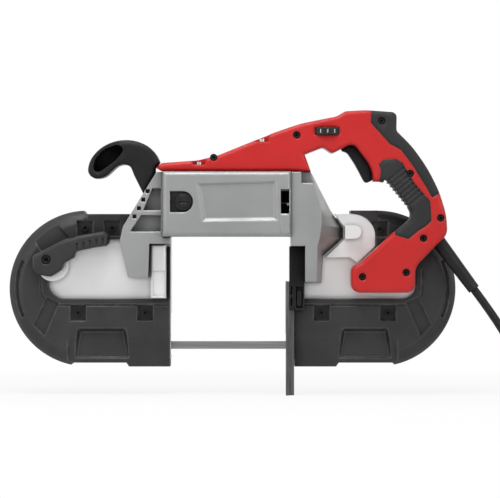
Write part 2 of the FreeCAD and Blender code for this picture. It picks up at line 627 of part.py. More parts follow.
def motor_housing():
    """The cast motor housing: a bare recessed panel, a brush cap's seat, a fan window and the motor's bore."""
    body = new_body("motor_housing", y="plate_front")
    top = MOTOR_TOP
    pad(body, [box(size("motor_left"), BEAM_BOTTOM, MOTOR_RIGHT, top)], "motor_depth")
    round_front(body, "casting_round")
    pad(body, [rounded(in_motor(BLOCK_SHARES))], "motor_depth + block_height")
    panel(body)
    pocket(body, [rounded(in_motor(CAP_RECESS_SHARES))], "cap_recess", offset="motor_depth")
    stem = size("brush_stem_radius") + size("running_gap")
    pocket(body, [ring(CAP_X, CAP_Z, stem)], "motor_depth / 2", offset="motor_depth")
    pocket(body, [rounded(in_motor(VENT_SHARES))], "vent_depth", offset="motor_depth")
    middle = MOTOR_Y - size("plate_front")
    pocket(body, [ring(middle, MOTOR_Z, size("motor_cavity"))], "motor_cavity_length", plane="side",
           offset="motor_left + motor_length")
    pocket(body, [ring(middle, MOTOR_Z, size("bearing_radius"))], "motor_cavity_length + bearing_width",
           plane="side", offset="motor_left + motor_length")
    return sub_part(body, "motor_housing")


def panel(body):
    """The bare panel of the motor housing: a recess with sloping sides."""
    rim = draw(body, "front", [rounded(in_motor(PANEL_SHARES))])
    shift(rim, "motor_depth")
    floor = draw(body, "front", [rounded(in_motor(PANEL_FLOOR_SHARES))])
    shift(floor, "motor_depth - panel_depth")
    loft = body.newObject("PartDesign::SubtractiveLoft", "panel_loft")
    loft.Profile = rim
    loft.Sections = [floor]
    loft.Ruled = True


def front_leg():
    """The ribbed casting beside the motor housing that carries the front handle and the left guide post."""
    body = new_body("front_leg", y="plate_front")
    pad(body, [rounded(in_leg(LEG_SHARES))], "leg_depth")
    pocket(body, [rounded(in_leg(LEG_UPPER_POCKET_SHARES)), rounded(in_leg(LEG_LOWER_POCKET_SHARES))],
           "leg_pocket", offset="leg_depth")
    half = size("vent_size") / 2
    vents = [box(x - half, z - half, x + half, z + half) for x, z in in_leg(LEG_VENT_SHARES)]
    pocket(body, vents, "leg_pocket", offset="leg_depth")
    return sub_part(body, "front_leg")


def left_guide_post():
    """The bare block under the front leg, beside the throat."""
    body = new_body("left_guide_post", y="plate_front")
    left = CLAMP_LEFT - size("clearance") - size("post_width")
    low = POST_TOP - size("post_height")
    pad(body, [box(left, low, left + size("post_width"), POST_TOP)], "post_depth")
    round_front(body, "post_bevel")
    recess = shares_in(left, low, size("post_width"), size("post_height"), POST_RECESS_SHARES)
    pocket(body, [rounded(recess)], "post_recess", offset="post_depth")
    return sub_part(body, "left_guide_post")


def left_guide_clamp():
    """The dark strip between the post and the throat that holds the left blade guide."""
    body = new_body("left_guide_clamp", y="plate_front")
    top = POST_TOP - size("post_bevel")
    strip = box(CLAMP_LEFT, top - size("clamp_height"), CLAMP_LEFT + size("clamp_width"), top)
    pad(body, [strip], "clamp_depth")
    return sub_part(body, "left_guide_clamp")


def gear_case():
    """The faceted gear case: it narrows from the plate towards its front and has a notch under the handle."""
    body = new_body("gear_case", y="plate_front")
    back = draw(body, "front", [rounded(in_case(CASE_BACK_SHARES))])
    front = draw(body, "front", [rounded(in_case(CASE_FRONT_SHARES))])
    shift(front, "case_depth")
    loft = body.newObject("PartDesign::AdditiveLoft", "gear_case_loft")
    loft.Profile = back
    loft.Sections = [front]
    loft.Ruled = True
    pocket(body, [rounded(in_case(CASE_POCKET_SHARES))], "case_pocket", offset="case_depth")
    seat = MOTOR_Y - size("plate_front")
    pocket(body, [ring(seat, MOTOR_Z, size("bearing_radius"))], "bearing_width", plane="side", reverse=True,
           offset="motor_left + motor_length")
    return sub_part(body, "gear_case")


def gear_cover():
    """The raised bare cover beside the gear case, with a round-ended boss."""
    body = new_body("gear_cover", y="plate_front")
    pad(body, [rounded(in_case(COVER_SHARES))], "cover_height")
    pad(body, [rounded(in_case(BOSS_SHARES))], "cover_height + boss_height")
    return sub_part(body, "gear_cover")


def stator():
    """The laminated ring round the rotor."""
    half = size("stator_length") / 2
    bore = size("stator_bore")
    outer = size("stator_radius")
    profile = rounded([(bore, -half), (outer, -half), (outer, half), (bore, half)])
    body = turned("stator", profile, turn=TURN_TO_X, y="plate_front - motor_depth / 2",
                  z="beam_bottom + motor_height / 2")
    return sub_part(body, "stator")


def armature():
    """Shaft, rotor and commutator, turning on two bearings along the housing."""
    left = size("motor_left") + size("bearing_width") - size("overrun")
    right = MOTOR_RIGHT + size("bearing_width") - size("overrun")
    rotor = size("rotor_length") / 2
    start = CAP_X - size("commutator_length") / 2
    end = CAP_X + size("commutator_length") / 2
    shaft = size("shaft_radius")
    wide = size("commutator_radius")
    profile = rounded([
        (0, left), (shaft, left), (shaft, start), (wide, start), (wide, end), (shaft, end), (shaft, -rotor),
        (size("rotor_radius"), -rotor), (size("rotor_radius"), rotor), (shaft, rotor), (shaft, right),
        (0, right),
    ])
    body = turned("armature", profile, turn=TURN_TO_X, y="plate_front - motor_depth / 2",
                  z="beam_bottom + motor_height / 2")
    return sub_part(body, "armature")


def cooling_fan():
    """A disc with straight vanes on the armature's shaft, behind the window."""
    length = size("fan_length")
    along = Vector(1, 0, 0)
    start = Vector(MOTOR_RIGHT - size("fan_length") * FAN_PLACE_SHARE, MOTOR_Y, MOTOR_Z)
    fan = Part.makeCylinder(size("fan_radius"), size("fan_web"), start, along)
    fan = fan.fuse(Part.makeCylinder(size("fan_hub"), length, start, along))
    for step in range(FAN_VANES):
        vane = Part.makeBox(length, size("fan_web") / 2, size("fan_radius") - size("overrun"), start)
        vane.rotate(start, along, 360 * step / FAN_VANES)
        fan = fan.fuse(vane)
    bore = Part.makeCylinder(size("shaft_radius"), length, start, along)
    return group("cooling_fan", [fan.cut(bore).removeSplitter()])


def motor_bearings():
    """The two bearings of the armature's shaft."""
    shapes = []
    for x in [size("motor_left") + size("motor_length") - size("motor_cavity_length") - size("bearing_width"),
              MOTOR_RIGHT]:
        place_x = Vector(x, MOTOR_Y, MOTOR_Z)
        outer = Part.makeCylinder(size("bearing_radius"), size("bearing_width"), place_x, Vector(1, 0, 0))
        bore = size("shaft_radius") + size("running_gap")
        shapes.append(outer.cut(Part.makeCylinder(bore, size("bearing_width"), place_x, Vector(1, 0, 0))))
    return group("motor_bearings", shapes)


def brush_cap():
    """The slotted screw cap over the front carbon brush, on its round-ended plate."""
    front = size("plate_front") - size("motor_depth")
    cap = Part.makeCylinder(size("brush_cap_radius"), size("cap_recess"), Vector(CAP_X, front, CAP_Z),
                            Vector(0, 1, 0))
    stem = Part.makeCylinder(size("brush_stem_radius"), size("cap_recess") + size("brush_stem"),
                             Vector(CAP_X, front, CAP_Z), Vector(0, 1, 0))
    cut = Part.makeBox(2 * size("brush_stem_radius"), size("cap_recess") / 2, size("cap_recess"))
    cut.translate(Vector(CAP_X - size("brush_stem_radius"), front, CAP_Z - size("cap_recess") / 2))
    plate = prism(in_motor(CAP_PLATE_SHARES), front + size("cap_recess") / 2, size("cap_recess") / 2)
    return group("brush_cap", [cap.multiFuse([stem, plate]).cut(cut).removeSplitter()])


def carbon_brushes():
    """Two carbon blocks that meet the commutator from the front and the back."""
    half = size("brush_size") / 2
    near = size("commutator_radius") + size("clearance")
    front = size("plate_front") - size("motor_depth") + size("cap_recess") + size("brush_stem")
    back = MOTOR_Y + size("motor_cavity") - size("clearance") * 2
    spans = [(front, MOTOR_Y - near), (MOTOR_Y + near, back)]
    shapes = []
    for low, high in spans:
        corner = Vector(CAP_X - half, low, CAP_Z - half)
        shapes.append(Part.makeBox(size("brush_size"), high - low, size("brush_size"), corner))
    return group("carbon_brushes", shapes)


def guide_block(name, left):
    """The block behind the plate that carries two rollers; its slanted face is square to the twisted blade."""
    body = new_body(name + "_blank")
    front = PLATE_BACK
    back = front + size("guide_depth")
    face = Vector(0, size("wheel_middle"), BLADE_Z) - ACROSS * (size("blade_width") / 2 + size("guide_gap"))

    def height(y):
        return face.z + (y - face.y) / math.tan(SLOPE)

    top = height(front) + size("guide_height")
    outline = [(front, height(front)), (back, height(back)), (back, height(back) + size("guide_depth") / 2),
               (back - size("guide_depth") / 2, top), (front, top)]
    pad(body, [rounded(outline)], "guide_length", plane="side", offset=left)
    document.recompute()
    block = body.Shape
    for pin in roller_places(block.BoundBox.Center.x):
        reach = size("blade_width") / 2 + size("guide_gap") + size("pin_depth") + size("clearance")
        hole = Part.makeCylinder(size("roller_pin_radius") + size("running_gap"), reach, pin, -ACROSS)
        block = block.cut(hole)
    return group(name, [block])


def roller_places(x):
    """Where the two rollers' axes cross the blade's middle line, above and below the blade."""
    middle = Vector(x, size("wheel_middle"), BLADE_Z)
    reach = size("blade_thickness") / 2 + size("clearance") + size("roller_radius")
    return [middle + THROUGH * reach, middle - THROUGH * reach]


def guide_rollers(side, x):
    """Two steel rollers, one on each face of the blade, and their headed pins."""
    face = size("blade_width") / 2 + size("guide_gap")
    start = clear(face)
    pins = []
    for name, middle in zip(["upper", "lower"], roller_places(x)):
        low = middle - ACROSS * start
        roller = Part.makeCylinder(size("roller_radius"), size("roller_length"), low, ACROSS)
        bore = size("roller_pin_radius") + size("running_gap")
        hole = Part.makeCylinder(bore, size("roller_length"), low, ACROSS)
        group("%s_%s_roller" % (side, name), [roller.cut(hole)])
        inner = middle - ACROSS * (face + size("pin_depth"))
        reach = size("pin_depth") + size("roller_length") + 2 * size("clearance") + size("pin_head")
        pin = Part.makeCylinder(size("roller_pin_radius"), reach, inner, ACROSS)
        head = Part.makeCylinder(size("pin_head_radius"), size("pin_head"),
                                 inner + ACROSS * (reach - size("pin_head")), ACROSS)
        pins.append(pin.fuse(head).removeSplitter())
    return group("%s_roller_pins" % side, pins)


def clear(distance):
    return distance - size("clearance")


def shoe_bracket():
    """The dark block right of the throat; its groove guides the work shoe's rib."""
    body = new_body("shoe_bracket", y="plate_front")
    left = SHOE_RIGHT + size("clearance")
    low = size("bracket_top") - size("bracket_height")
    right = left + size("bracket_width")
    pad(body, [box(left, low, right, size("bracket_top"))], "bracket_depth")
    half = size("shoe_rib_width") / 2 + size("clearance")
    groove_back = half - size("plate_front")
    groove_front = -half - size("plate_front")
    groove = box(groove_front, low - size("overrun"), groove_back, size("bracket_top") + size("overrun"))
    pocket(body, [groove], "shoe_rib + 2 * clearance + overrun", plane="side", reverse=True,
           offset="throat_right - shoe_gap - overrun")
    hole = ring(-size("plate_front"), size("shoe_screw_height"), size("shoe_screw_radius"))
    pocket(body, [hole], "bracket_width", plane="side", reverse=True, offset="throat_right - shoe_gap")
    windows = [rounded(shares_in(left, low, size("bracket_width"), size("bracket_height"), shares))
               for shares in BRACKET_WINDOW_SHARES + [BRACKET_PIN_SHARES]]
    pocket(body, windows, "bracket_pocket", offset="bracket_depth")
    return sub_part(body, "shoe_bracket")


def work_shoe():
    """The stop that rests on the work: a steel plate with a rib and a long slot for its screw."""
    body = new_body("work_shoe")
    front = size("shoe_front")
    back = size("shoe_back")
    step = size("shoe_step")
    top = size("shoe_height")
    plate = rounded([(front, 0), (PLATE_BACK, 0), (PLATE_BACK, step), (back, step), (back, top), (front, top)])
    pad(body, [plate], "shoe_thickness", plane="side", offset="throat_right - shoe_gap - shoe_thickness")
    half = size("shoe_rib_width") / 2
    pad(body, [box(-half, 0, half, top)], "shoe_rib", plane="side", offset="throat_right - shoe_gap")
    width = size("shoe_slot_width")
    high = size("shoe_screw_height") + width / 2 + size("clearance")
    low = size("shoe_screw_height") - size("shoe_travel") - width / 2 - size("clearance")
    pocket(body, [slot(0, low, high, width)], "shoe_thickness + shoe_rib + 2 * overrun", plane="side",
           offset="throat_right - shoe_gap + shoe_rib + overrun")
    room = size("shoe_head_radius") + size("clearance") - width / 2
    head_slot = slot(0, low - room, high + room, width + 2 * room)
    pocket(body, [head_slot], "shoe_head + 2 * clearance", plane="side", reverse=True,
           offset="throat_right - shoe_gap - shoe_thickness")
    return sub_part(body, "work_shoe")


def shoe_screw():
    """The screw that clamps the shoe to its bracket; its head lies sunk in the shoe's groove."""
    z = size("shoe_screw_height")
    along = Vector(1, 0, 0)
    start = Vector(SHOE_LEFT + size("clearance"), 0, z)
    head = Part.makeCylinder(size("shoe_head_radius"), size("shoe_head"), start, along)
    reach = SHOE_RIGHT + size("bracket_width") - start.x - size("overrun")
    shank = Part.makeCylinder(size("shoe_screw_radius"), reach, start, along)
    socket = Part.makeCylinder(size("shoe_screw_radius"), size("shoe_head") / 2, start, along)
    return group("shoe_screw", [head.fuse(shank).cut(socket).removeSplitter()])


HANDLE_FRONT = size("handle_middle") - size("handle_width") / 2
HANDLE_BACK = size("handle_middle") + size("handle_width") / 2
HANDLE_RIGHT = size("handle_left") + size("handle_length")
LOOP_SHARE = 0.5
BAR_SHARE = 0.664
HANDLE_SHARES = [
    (0, 0.685), (0.021, 0.664), (0.531, 0.664), (0.51, 0.757), (0.573, 0.796, 0.03), (0.604, 0.762, 0.02),
    (0.628, 0.782), (0.677, 0.818, 0.04), (0.74, 0.685, 0.2), (0.7465, 0.61), (0.766, 0.61),
    (0.795, 0.602, 0.05),
    (0.865, 0.47), (0.885, 0.42, 0.05), (0.8125, 0.326, 0.1), (0.705, 0.166, 0.1),
    (0.67, 0.14, 0.04), (0.67, 0, 0.05), (0.889, 0, 0.05), (0.889, 0.14, 0.1), (0.951, 0.243, 0.15),
    (1, 0.32, 0.07), (0.9965, 0.4254, 0.4), (0.972, 0.5525, 0.6), (0.9306, 0.685, 0.8), (0.878, 0.801, 0.5),
    (0.825, 0.885, 0.03), (0.826, 0.986, 0.03), (0.72, 0.998, 0.3), (0.649, 0.992, 0.05),
    (0.62, 0.964, 0.08), (0.4965, 0.925, 0.6), (0.41, 0.878, 0.8), (0.208, 0.7486, 0.3), (0.139, 0.7238, 0.3),
    (0.021, 0.71),
]
HANDLE_FOOT_SHARES = [(0.69, 0.02), (0.875, 0.02), (0.875, 0.125), (0.69, 0.125)]
SPINE_SHARES = [
    (0.74, 1.02), (0.84, 1.02), (0.836, 0.884), (0.89, 0.81), (0.942, 0.69), (0.985, 0.555), (0.946, 0.52),
    (0.927, 0.574), (0.875, 0.707), (0.84, 0.779), (0.802, 0.812), (0.736, 0.928),
]
PALM_SHARES = [
    (0.764, 0.58), (0.771, 0.668), (0.764, 0.702), (0.781, 0.729), (0.823, 0.732), (0.847, 0.707),
    (0.885, 0.602),
    (0.924, 0.53), (0.941, 0.503), (0.944, 0.392), (0.927, 0.365), (0.899, 0.337), (0.865, 0.293),
    (0.82, 0.315),
    (0.82, 0.39), (0.85, 0.45),
]
HANDLE_SCREW_SHARES = [
    (0.198, 0.74), (0.483, 0.862), (0.774, 0.939), (0.872, 0.652), (0.976, 0.409), (0.917, 0.298),
    (0.708, 0.088), (0.858, 0.111),
]
SLOT_SHARES = [
    (0.611, 0.7735), (0.67, 0.851), (0.729, 0.851), (0.792, 0.696), (0.767, 0.586), (0.705, 0.5635),
    (0.653, 0.7017),
]
TRIGGER_SHARES = [
    (0.628, 0.782, 0.01), (0.656, 0.768, 0.04), (0.68, 0.713, 0.5), (0.708, 0.63), (0.719, 0.597, 0.02),
    (0.743, 0.616, 0.01), (0.743, 0.685, 0.1), (0.694, 0.801, 0.05), (0.667, 0.818, 0.03),
]
RIB_SHARES = [(0.793, 0.612), (0.877, 0.449)]
PALM_RIBS = 8
TOP_SCREW_SHARES = [(0.148, 0.7), (0.3646, 0.826)]
DIAL_PLACE_SHARES = [(0.587, 0.884)]
DIAL_RIBS = 24
HOOK_SHARES = [
    (0.764, 0), (0.939, 0.385), (0.939, 0.475), (1.007, 0.59), (0.945, 0.8, 0.6), (0.72, 0.99, 0.8),
    (0.42, 1.03, 0.9), (0.15, 0.87, 0.8), (-0.01, 0.61, 0.6), (-0.03, 0.36, 0.2), (0.07, 0.275, 0.15),
    (0.22, 0.29, 0.3), (0.44, 0.56, 0.35), (0.58, 0.53, 0.2), (0.64, 0.33, 0.3),
]
HOLLOW_SHARES = [
    (0.06, 0.4, 0.1), (0.05, 0.6, 0.3), (0.2, 0.84, 0.4), (0.42, 0.94, 0.25), (0.5, 0.82, 0.15),
    (0.36, 0.6, 0.4), (0.15, 0.4, 0.2),
]
LEVER_SHARES = [
    (0, 0.46, 0.1), (0.158, 0.593), (0.342, 0.758, 0.5), (0.605, 0.9, 0.6), (0.934, 1, 0.06), (1, 0.9, 0.06),
    (0.987, 0.68, 0.1), (0.8, 0.637, 0.4), (0.566, 0.55, 0.1), (0.54, 0.418, 0.06), (0.42, 0.308, 0.06),
    (0.38, 0.154, 0.1), (0.237, 0, 0.1), (0.053, 0.044, 0.1), (0, 0.2, 0.1),
]
LEVER_HUB_SHARE = (0.178, 0.374)
LEVER_RIB_SHARES = [(0.56, 0.5), (0.6, 0.5), (0.6, 0.74), (0.56, 0.74)]
LEVER_RIB_STEP_SHARE = (0.085, 0.03)
LEVER_RIBS = 5
WHEEL_FRONT = size("wheel_middle") - size("wheel_width") / 2
WHEEL_BACK = size("wheel_middle") + size("wheel_width") / 2
AXLE_BORE = size("axle_radius") + size("running_gap")


def in_handle(shares):
    """Points of the rear handle: its loop keeps to the rear end, and its bar lies on the motor housing."""
    bar = size("handle_length") - size("handle_loop")
    points = []
    for across, up, *corner in shares:
        x = size("handle_left") + bar * across / LOOP_SHARE
        if across > LOOP_SHARE:
            x = HANDLE_RIGHT - size("handle_loop") * (1 - across) / (1 - LOOP_SHARE)
        z = size("handle_low") + (MOTOR_TOP - size("handle_low")) * up / BAR_SHARE
        if up > BAR_SHARE:
            z = MOTOR_TOP + size("handle_rise") * (up - BAR_SHARE) / (1 - BAR_SHARE)
        points.append((x, z, *[share * size("handle_height") for share in corner]))
    return points


DIAL_X, DIAL_Z = in_handle(DIAL_PLACE_SHARES)[0]
DIAL_Y = HANDLE_FRONT - size("dial_peek") + size("dial_radius")


def rounded_slab(points, front, depth, radius):
    """A prism with rounded front and back edges."""
    slab = prism(points, front, depth)
    edges = [edge for edge in slab.Edges if edge.BoundBox.YLength < size("clearance")]
    return slab.makeFillet(radius, edges)


def handle_blank():
    """The whole rear handle before it is parted: silhouette, trigger slot and dial pocket."""
    blank = rounded_slab(in_handle(HANDLE_SHARES), HANDLE_FRONT, size("handle_width"), size("handle_round"))
    slot_width = size("trigger_width") + 2 * size("trigger_gap")
    blank = blank.cut(prism(in_handle(SLOT_SHARES), size("handle_middle") - slot_width / 2, slot_width))
    thickness = size("dial_thickness") + 2 * size("clearance")
    dial = Part.makeCylinder(size("dial_radius") + size("clearance"), thickness,
                             Vector(DIAL_X, DIAL_Y, DIAL_Z - thickness / 2))
    scoops = [Part.makeCylinder(size("scoop_radius"), size("scoop_height"), seat) for seat in top_screw_seats()]
    return blank.cut(dial).cut(relief_socket()).cut(Part.makeCompound(scoops))


def top_screw_seats():
    """Where the two screws in the bar's top edge stand."""
    return [Vector(x, HANDLE_FRONT + size("scoop_inset"), z) for x, z in in_handle(TOP_SCREW_SHARES)]


def handle_top_screws():
    """Two bright socket screws in scoops of the handle's bar."""
    shapes = []
    for seat in top_screw_seats():
        head = Part.makeCylinder(size("screw_head_radius"), size("screw_head_height"), seat)
        top = seat + Vector(0, 0, size("screw_head_height") - size("screw_radius"))
        shapes.append(head.cut(Part.makeCylinder(size("screw_radius"), size("screw_radius"), top)))
    return group("handle_top_screws", shapes)


def palm_ribs():
    """The rounded grooves across the palm grip, along its inner edge and over both faces."""
    start, end = [Vector(x, 0, z) for x, z in in_handle(RIB_SHARES)]
    along = (end - start).normalize()
    inwards = Vector(-along.z, 0, along.x)
    radius = size("rib_radius")
    depth = size("rib_depth")
    tools = []
    for rib in range(PALM_RIBS):
        middle = start + along * (size("rib_pitch") * rib)
        edge = middle - inwards * (radius - depth) + Vector(0, HANDLE_FRONT, 0)
        tools.append(Part.makeCylinder(radius, size("handle_width"), edge, Vector(0, 1, 0)))
        for face in [HANDLE_FRONT - radius + depth, HANDLE_BACK + radius - depth]:
            low = middle - inwards * radius + Vector(0, face, 0)
            tools.append(Part.makeCylinder(radius, size("rib_reach"), low, inwards))
    return tools


def handle_screw_holes():
    depth = size("handle_screw_depth") + size("overrun")
    return [Part.makeCylinder(size("handle_screw_radius") + size("running_gap"), depth,
                              Vector(x, HANDLE_FRONT - size("overrun"), z), Vector(0, 1, 0))
            for x, z in in_handle(HANDLE_SCREW_SHARES)]


def rear_handle():
    """Two clamshell halves with soft overmoulds over the spine and the palm."""
    blank = handle_blank()
    core_wire = Part.Wire([edge.toShape() for edge in rounded(in_handle(HANDLE_SHARES))])
    core_face = Part.Face(core_wire.makeOffset2D(-size("grip_skin")))
    core_face.rotate(Vector(), Vector(1, 0, 0), 90)
    core_face.translate(Vector(0, HANDLE_FRONT + size("grip_skin"), 0))
    core = core_face.extrude(Vector(0, size("handle_width") - 2 * size("grip_skin"), 0))
    holes = Part.makeCompound(handle_screw_holes())
    shell = blank.cut(core)
    shell = shell.cut(holes)
    for name, shares, grooves in [("grip_spine", SPINE_SHARES, []), ("grip_palm", PALM_SHARES, palm_ribs())]:
        region = prism(in_handle(shares), HANDLE_FRONT, size("handle_width"))
        grip = shell.common(region)
        blank = blank.cut(grip)
        for groove in grooves:
            grip = grip.cut(groove)
        group(name, grip.Solids)
    blank = blank.cut(holes)
    half = size("handle_width") / 2
    reach = Vector(size("handle_left") - half, HANDLE_FRONT - half, size("handle_low") - half)
    front_room = Part.makeBox(size("handle_length") + 2 * half, 2 * half,
                              size("handle_height") + 2 * half, reach)
    front = blank.common(front_room)
    back = blank.cut(front_room)
    foot_depth = size("plate_front") - size("handle_middle") - half + size("handle_round")
    foot = prism(in_handle(HANDLE_FOOT_SHARES), size("plate_front") - foot_depth, foot_depth)
    group("handle_front_half", front.Solids)
    group("handle_back_half", back.fuse(foot).removeSplitter().Solids)


def handle_screws():
    """Recessed screws of the clamshell and its foot, seen from the front."""
    shapes = []
    for x, z in in_handle(HANDLE_SCREW_SHARES):
        seat = HANDLE_FRONT + size("screw_radius")
        length = size("handle_screw_depth") - size("screw_radius")
        screw = Part.makeCylinder(size("handle_screw_radius"), length, Vector(x, seat, z), Vector(0, 1, 0))
        socket = Part.makeCylinder(size("screw_radius"), size("screw_radius"),
                                   Vector(x, seat, z), Vector(0, 1, 0))
        shapes.append(screw.cut(socket))
    return group("handle_screws", shapes)


def trigger():
    """The curved trigger, which slides into the handle."""
    width = size("trigger_width")
    return group("trigger", [prism(in_handle(TRIGGER_SHARES), size("handle_middle") - width / 2, width)])


def speed_dial():
    """A ribbed thumbwheel that shows in the handle's side."""
    thickness = size("dial_thickness")
    place_low = Vector(DIAL_X, DIAL_Y, DIAL_Z - thickness / 2)
    dial = Part.makeCylinder(size("dial_radius"), thickness, place_low)
    for step in range(DIAL_RIBS):
        turn = 2 * math.pi * step / DIAL_RIBS
        place_rib = place_low + Vector(math.cos(turn), math.sin(turn), 0) * size("dial_radius")
        dial = dial.cut(Part.makeCylinder(size("dial_notch"), thickness, place_rib))
    return group("speed_dial", [dial])


def front_handle():
    """The hooked front handle with a hollow in its nose, seated on the front leg."""
    body = new_body("front_handle", y="handle_middle + hook_width / 2")
    left = LEG_LEFT - size("hook_reach")
    low = LEG_LOW + size("hook_lift")
    outline = shares_in(left, low, size("hook_length"), size("hook_height"), HOOK_SHARES)
    pad(body, [rounded(outline)], "hook_width")
    round_front(body, "handle_round")
    hollow = shares_in(left, low, size("hook_length"), size("hook_height"), HOLLOW_SHARES)
    pocket(body, [rounded(hollow)], "hook_hollow", offset="hook_width")
    return sub_part(body, "front_handle")


def tension_lever():
    """The lever that slackens the blade, with a seat for its screw."""
    body = new_body("tension_lever", y="bumper_front - lever_gap")
    left = size("lever_x") - LEVER_HUB_SHARE[0] * size("lever_length")
    low = size("lever_z") - LEVER_HUB_SHARE[1] * size("lever_height")
    outline = shares_in(left, low, size("lever_length"), size("lever_height"), LEVER_SHARES)
    pad(body, [rounded(outline)], "lever_thickness")
    round_front(body, "lever_round")
    pocket(body, [ring(size("lever_x"), size("lever_z"), size("lever_bore"))], "lever_bore_depth",
           offset="lever_thickness")
    across, up = LEVER_RIB_STEP_SHARE
    ribs = [[(x + across * rib, z + up * rib) for x, z in LEVER_RIB_SHARES] for rib in range(LEVER_RIBS)]
    length = size("lever_length")
    height = size("lever_height")
    ribs = [rounded(shares_in(left, low, length, height, shares)) for shares in ribs]
    pocket(body, ribs, "lever_rib_depth", offset="lever_thickness")
    return sub_part(body, "tension_lever")


def lever_screw():
    """The socket screw in the lever's hub."""
    front = size("bumper_front") - size("lever_gap") - size("lever_thickness")
    start = Vector(size("lever_x"), front + size("overrun"), size("lever_z"))
    depth = size("lever_bore_depth") - size("overrun")
    screw = Part.makeCylinder(size("lever_bore") - size("running_gap"), depth, start, Vector(0, 1, 0))
    socket = Part.makeCylinder(size("lever_bore") / 2, depth / 2, start, Vector(0, 1, 0))
    return group("lever_screw", [screw.cut(socket)])


def lever_collar():
    """The bare boss on the plate that the lever's shaft turns in, off its middle."""
    body = new_body("lever_collar", y="plate_front")
    hub = ring(COLLAR_X, COLLAR_Z, size("collar_radius"))
    bore = ring(size("lever_x"), size("lever_z"), size("cam_radius") + size("running_gap"))
    pad(body, [hub, bore], "plate_front - bumper_front + lever_gap - clearance")
    return sub_part(body, "lever_collar")


def tension_cam():
    """The lever's shaft through the plate, with the eccentric disc that pushes the idler's carrier."""
    body = new_body("tension_cam", y="bumper_front - lever_gap")
    pad(body, [ring(size("lever_x"), size("lever_z"), size("cam_radius"))],
        "lever_gap + plate_front + plate_thickness + carrier_gap + carrier_thickness", reverse=True)
    pad(body, [ring(size("lever_x") - size("cam_offset"), size("lever_z"), size("cam_disc_radius"))],
        "carrier_thickness", reverse=True, offset="-(lever_gap + plate_front + plate_thickness + carrier_gap)")
    return sub_part(body, "tension_cam")


def tension_carrier():
    """The sliding plate behind the frame's plate that carries the idler's axle."""
    body = new_body("tension_carrier", y="plate_front + plate_thickness + carrier_gap")
    half = size("carrier_bar") / 2
    face = size("lever_x") - size("cam_offset") - size("cam_disc_radius") - size("cam_clearance")
    lug = face - size("axle_radius")
    top = size("lever_z") - size("cam_offset") - size("cam_disc_radius") - size("cam_clearance")
    outline = [
        (lug, WHEEL_Z + size("axle_radius")), (lug, size("lever_z") + size("cam_offset")),
        (face, size("lever_z") + size("cam_offset")), (face, top), (half - WHEEL_X, top),
        (half - WHEEL_X, WHEEL_Z - half), (-half - WHEEL_X, WHEEL_Z - half),
    ]
    pad(body, [rounded(outline)], "carrier_thickness", reverse=True)
    pad(body, [ring(-WHEEL_X, WHEEL_Z, size("axle_radius"))],
        "frame_depth - plate_thickness - carrier_gap - nut_thickness", reverse=True)
    return sub_part(body, "tension_carrier")


def axle_ring(name, x, inner, outer, front, back):
    """A plain ring about a wheel's axle."""
    start = Vector(x, front, WHEEL_Z)
    whole = Part.makeCylinder(outer, back - front, start, Vector(0, 1, 0))
    return group(name, [whole.cut(Part.makeCylinder(inner, back - front, start, Vector(0, 1, 0)))])


def drive_shaft():
    """The stepped shaft that carries the drive wheel, with the head that holds the wheel on."""
    middle = size("wheel_middle")
    thin = size("axle_radius")
    thick = size("bush_radius")
    front = BEARING_FRONT + size("clearance")
    step = PLATE_BACK + size("cam_clearance")
    hub = middle + size("wheel_width") / 2
    end = hub + size("nut_thickness")
    head = size("nut_radius")
    profile = rounded([(0, front), (thin, front), (thin, step), (thick, step), (thick, hub), (head, hub),
                       (head, end), (0, end)])
    return sub_part(turned("drive_shaft", profile, x="wheel_spacing / 2", z="wheel_height"), "drive_shaft")


# The cord's route from the strain relief down to the floor, in the handle's middle plane.
CORD_POINTS = [
    Vector(264, -21, 116.6), Vector(287.9, -21, 84.5), Vector(309, -21, 48), Vector(340, -21, 6),
    Vector(391, -21, 6),
]
CORD_BEND_SHARE = 0.45
CORD_OUT = (CORD_POINTS[1] - CORD_POINTS[0]).normalize()
CORD_DIAMETER = 2 * size("cord_radius")
RELIEF_START = CORD_POINTS[0] - CORD_OUT * size("relief_length")
COIL_START = CORD_POINTS[-1] + Vector(CORD_DIAMETER, 0, 0)
INWARD_HALF_TURNS = 6
PLUG_SHARES = [(0.75, 0.45), (1, 0.7), (1, 1)]
PLUG_NECK_SHARE = 0.15
EARTH_PIN_SHARE = 0.4
GAP_SAMPLES = 24


def bent_route(points):
    """Straight runs and tangent arcs through a cord's points; prints each bend's radius."""
    edges = []
    last = points[0]
    radii = []
    for before, corner, after in zip(points, points[1:], points[2:]):
        back = (before - corner).normalize()
        forth = (after - corner).normalize()
        reach = CORD_BEND_SHARE * min(before.distanceToPoint(corner), corner.distanceToPoint(after))
        half = back.getAngle(forth) / 2
        radius = reach * math.tan(half)
        apex = corner + (back + forth).normalize() * (radius / math.sin(half) - radius)
        edges.append(Part.LineSegment(last, corner + back * reach))
        edges.append(Part.Arc(corner + back * reach, apex, corner + forth * reach))
        last = corner + forth * reach
        radii.append(round(radius, 1))
    edges.append(Part.LineSegment(last, points[-1]))
    print("cord bend radii", radii)
    return Part.Wire([edge.toShape() for edge in edges])


def tube(path, start, along):
    """One unbroken round tube along a path."""
    section = Part.Wire(Part.Circle(start, along, size("cord_radius")).toShape())
    shell = Part.BRepOffsetAPI.MakePipeShell(path)
    shell.add(section)
    shell.build()
    shell.makeSolid()
    solid = shell.shape()
    wanted = math.pi * size("cord_radius") ** 2 * path.Length
    share = round(solid.Volume / wanted, 4)
    print("tube volume over section times length", share, "length", round(path.Length))
    return solid


def power_cord():
    return group("power_cord", [tube(bent_route(CORD_POINTS), CORD_POINTS[0], CORD_OUT)])


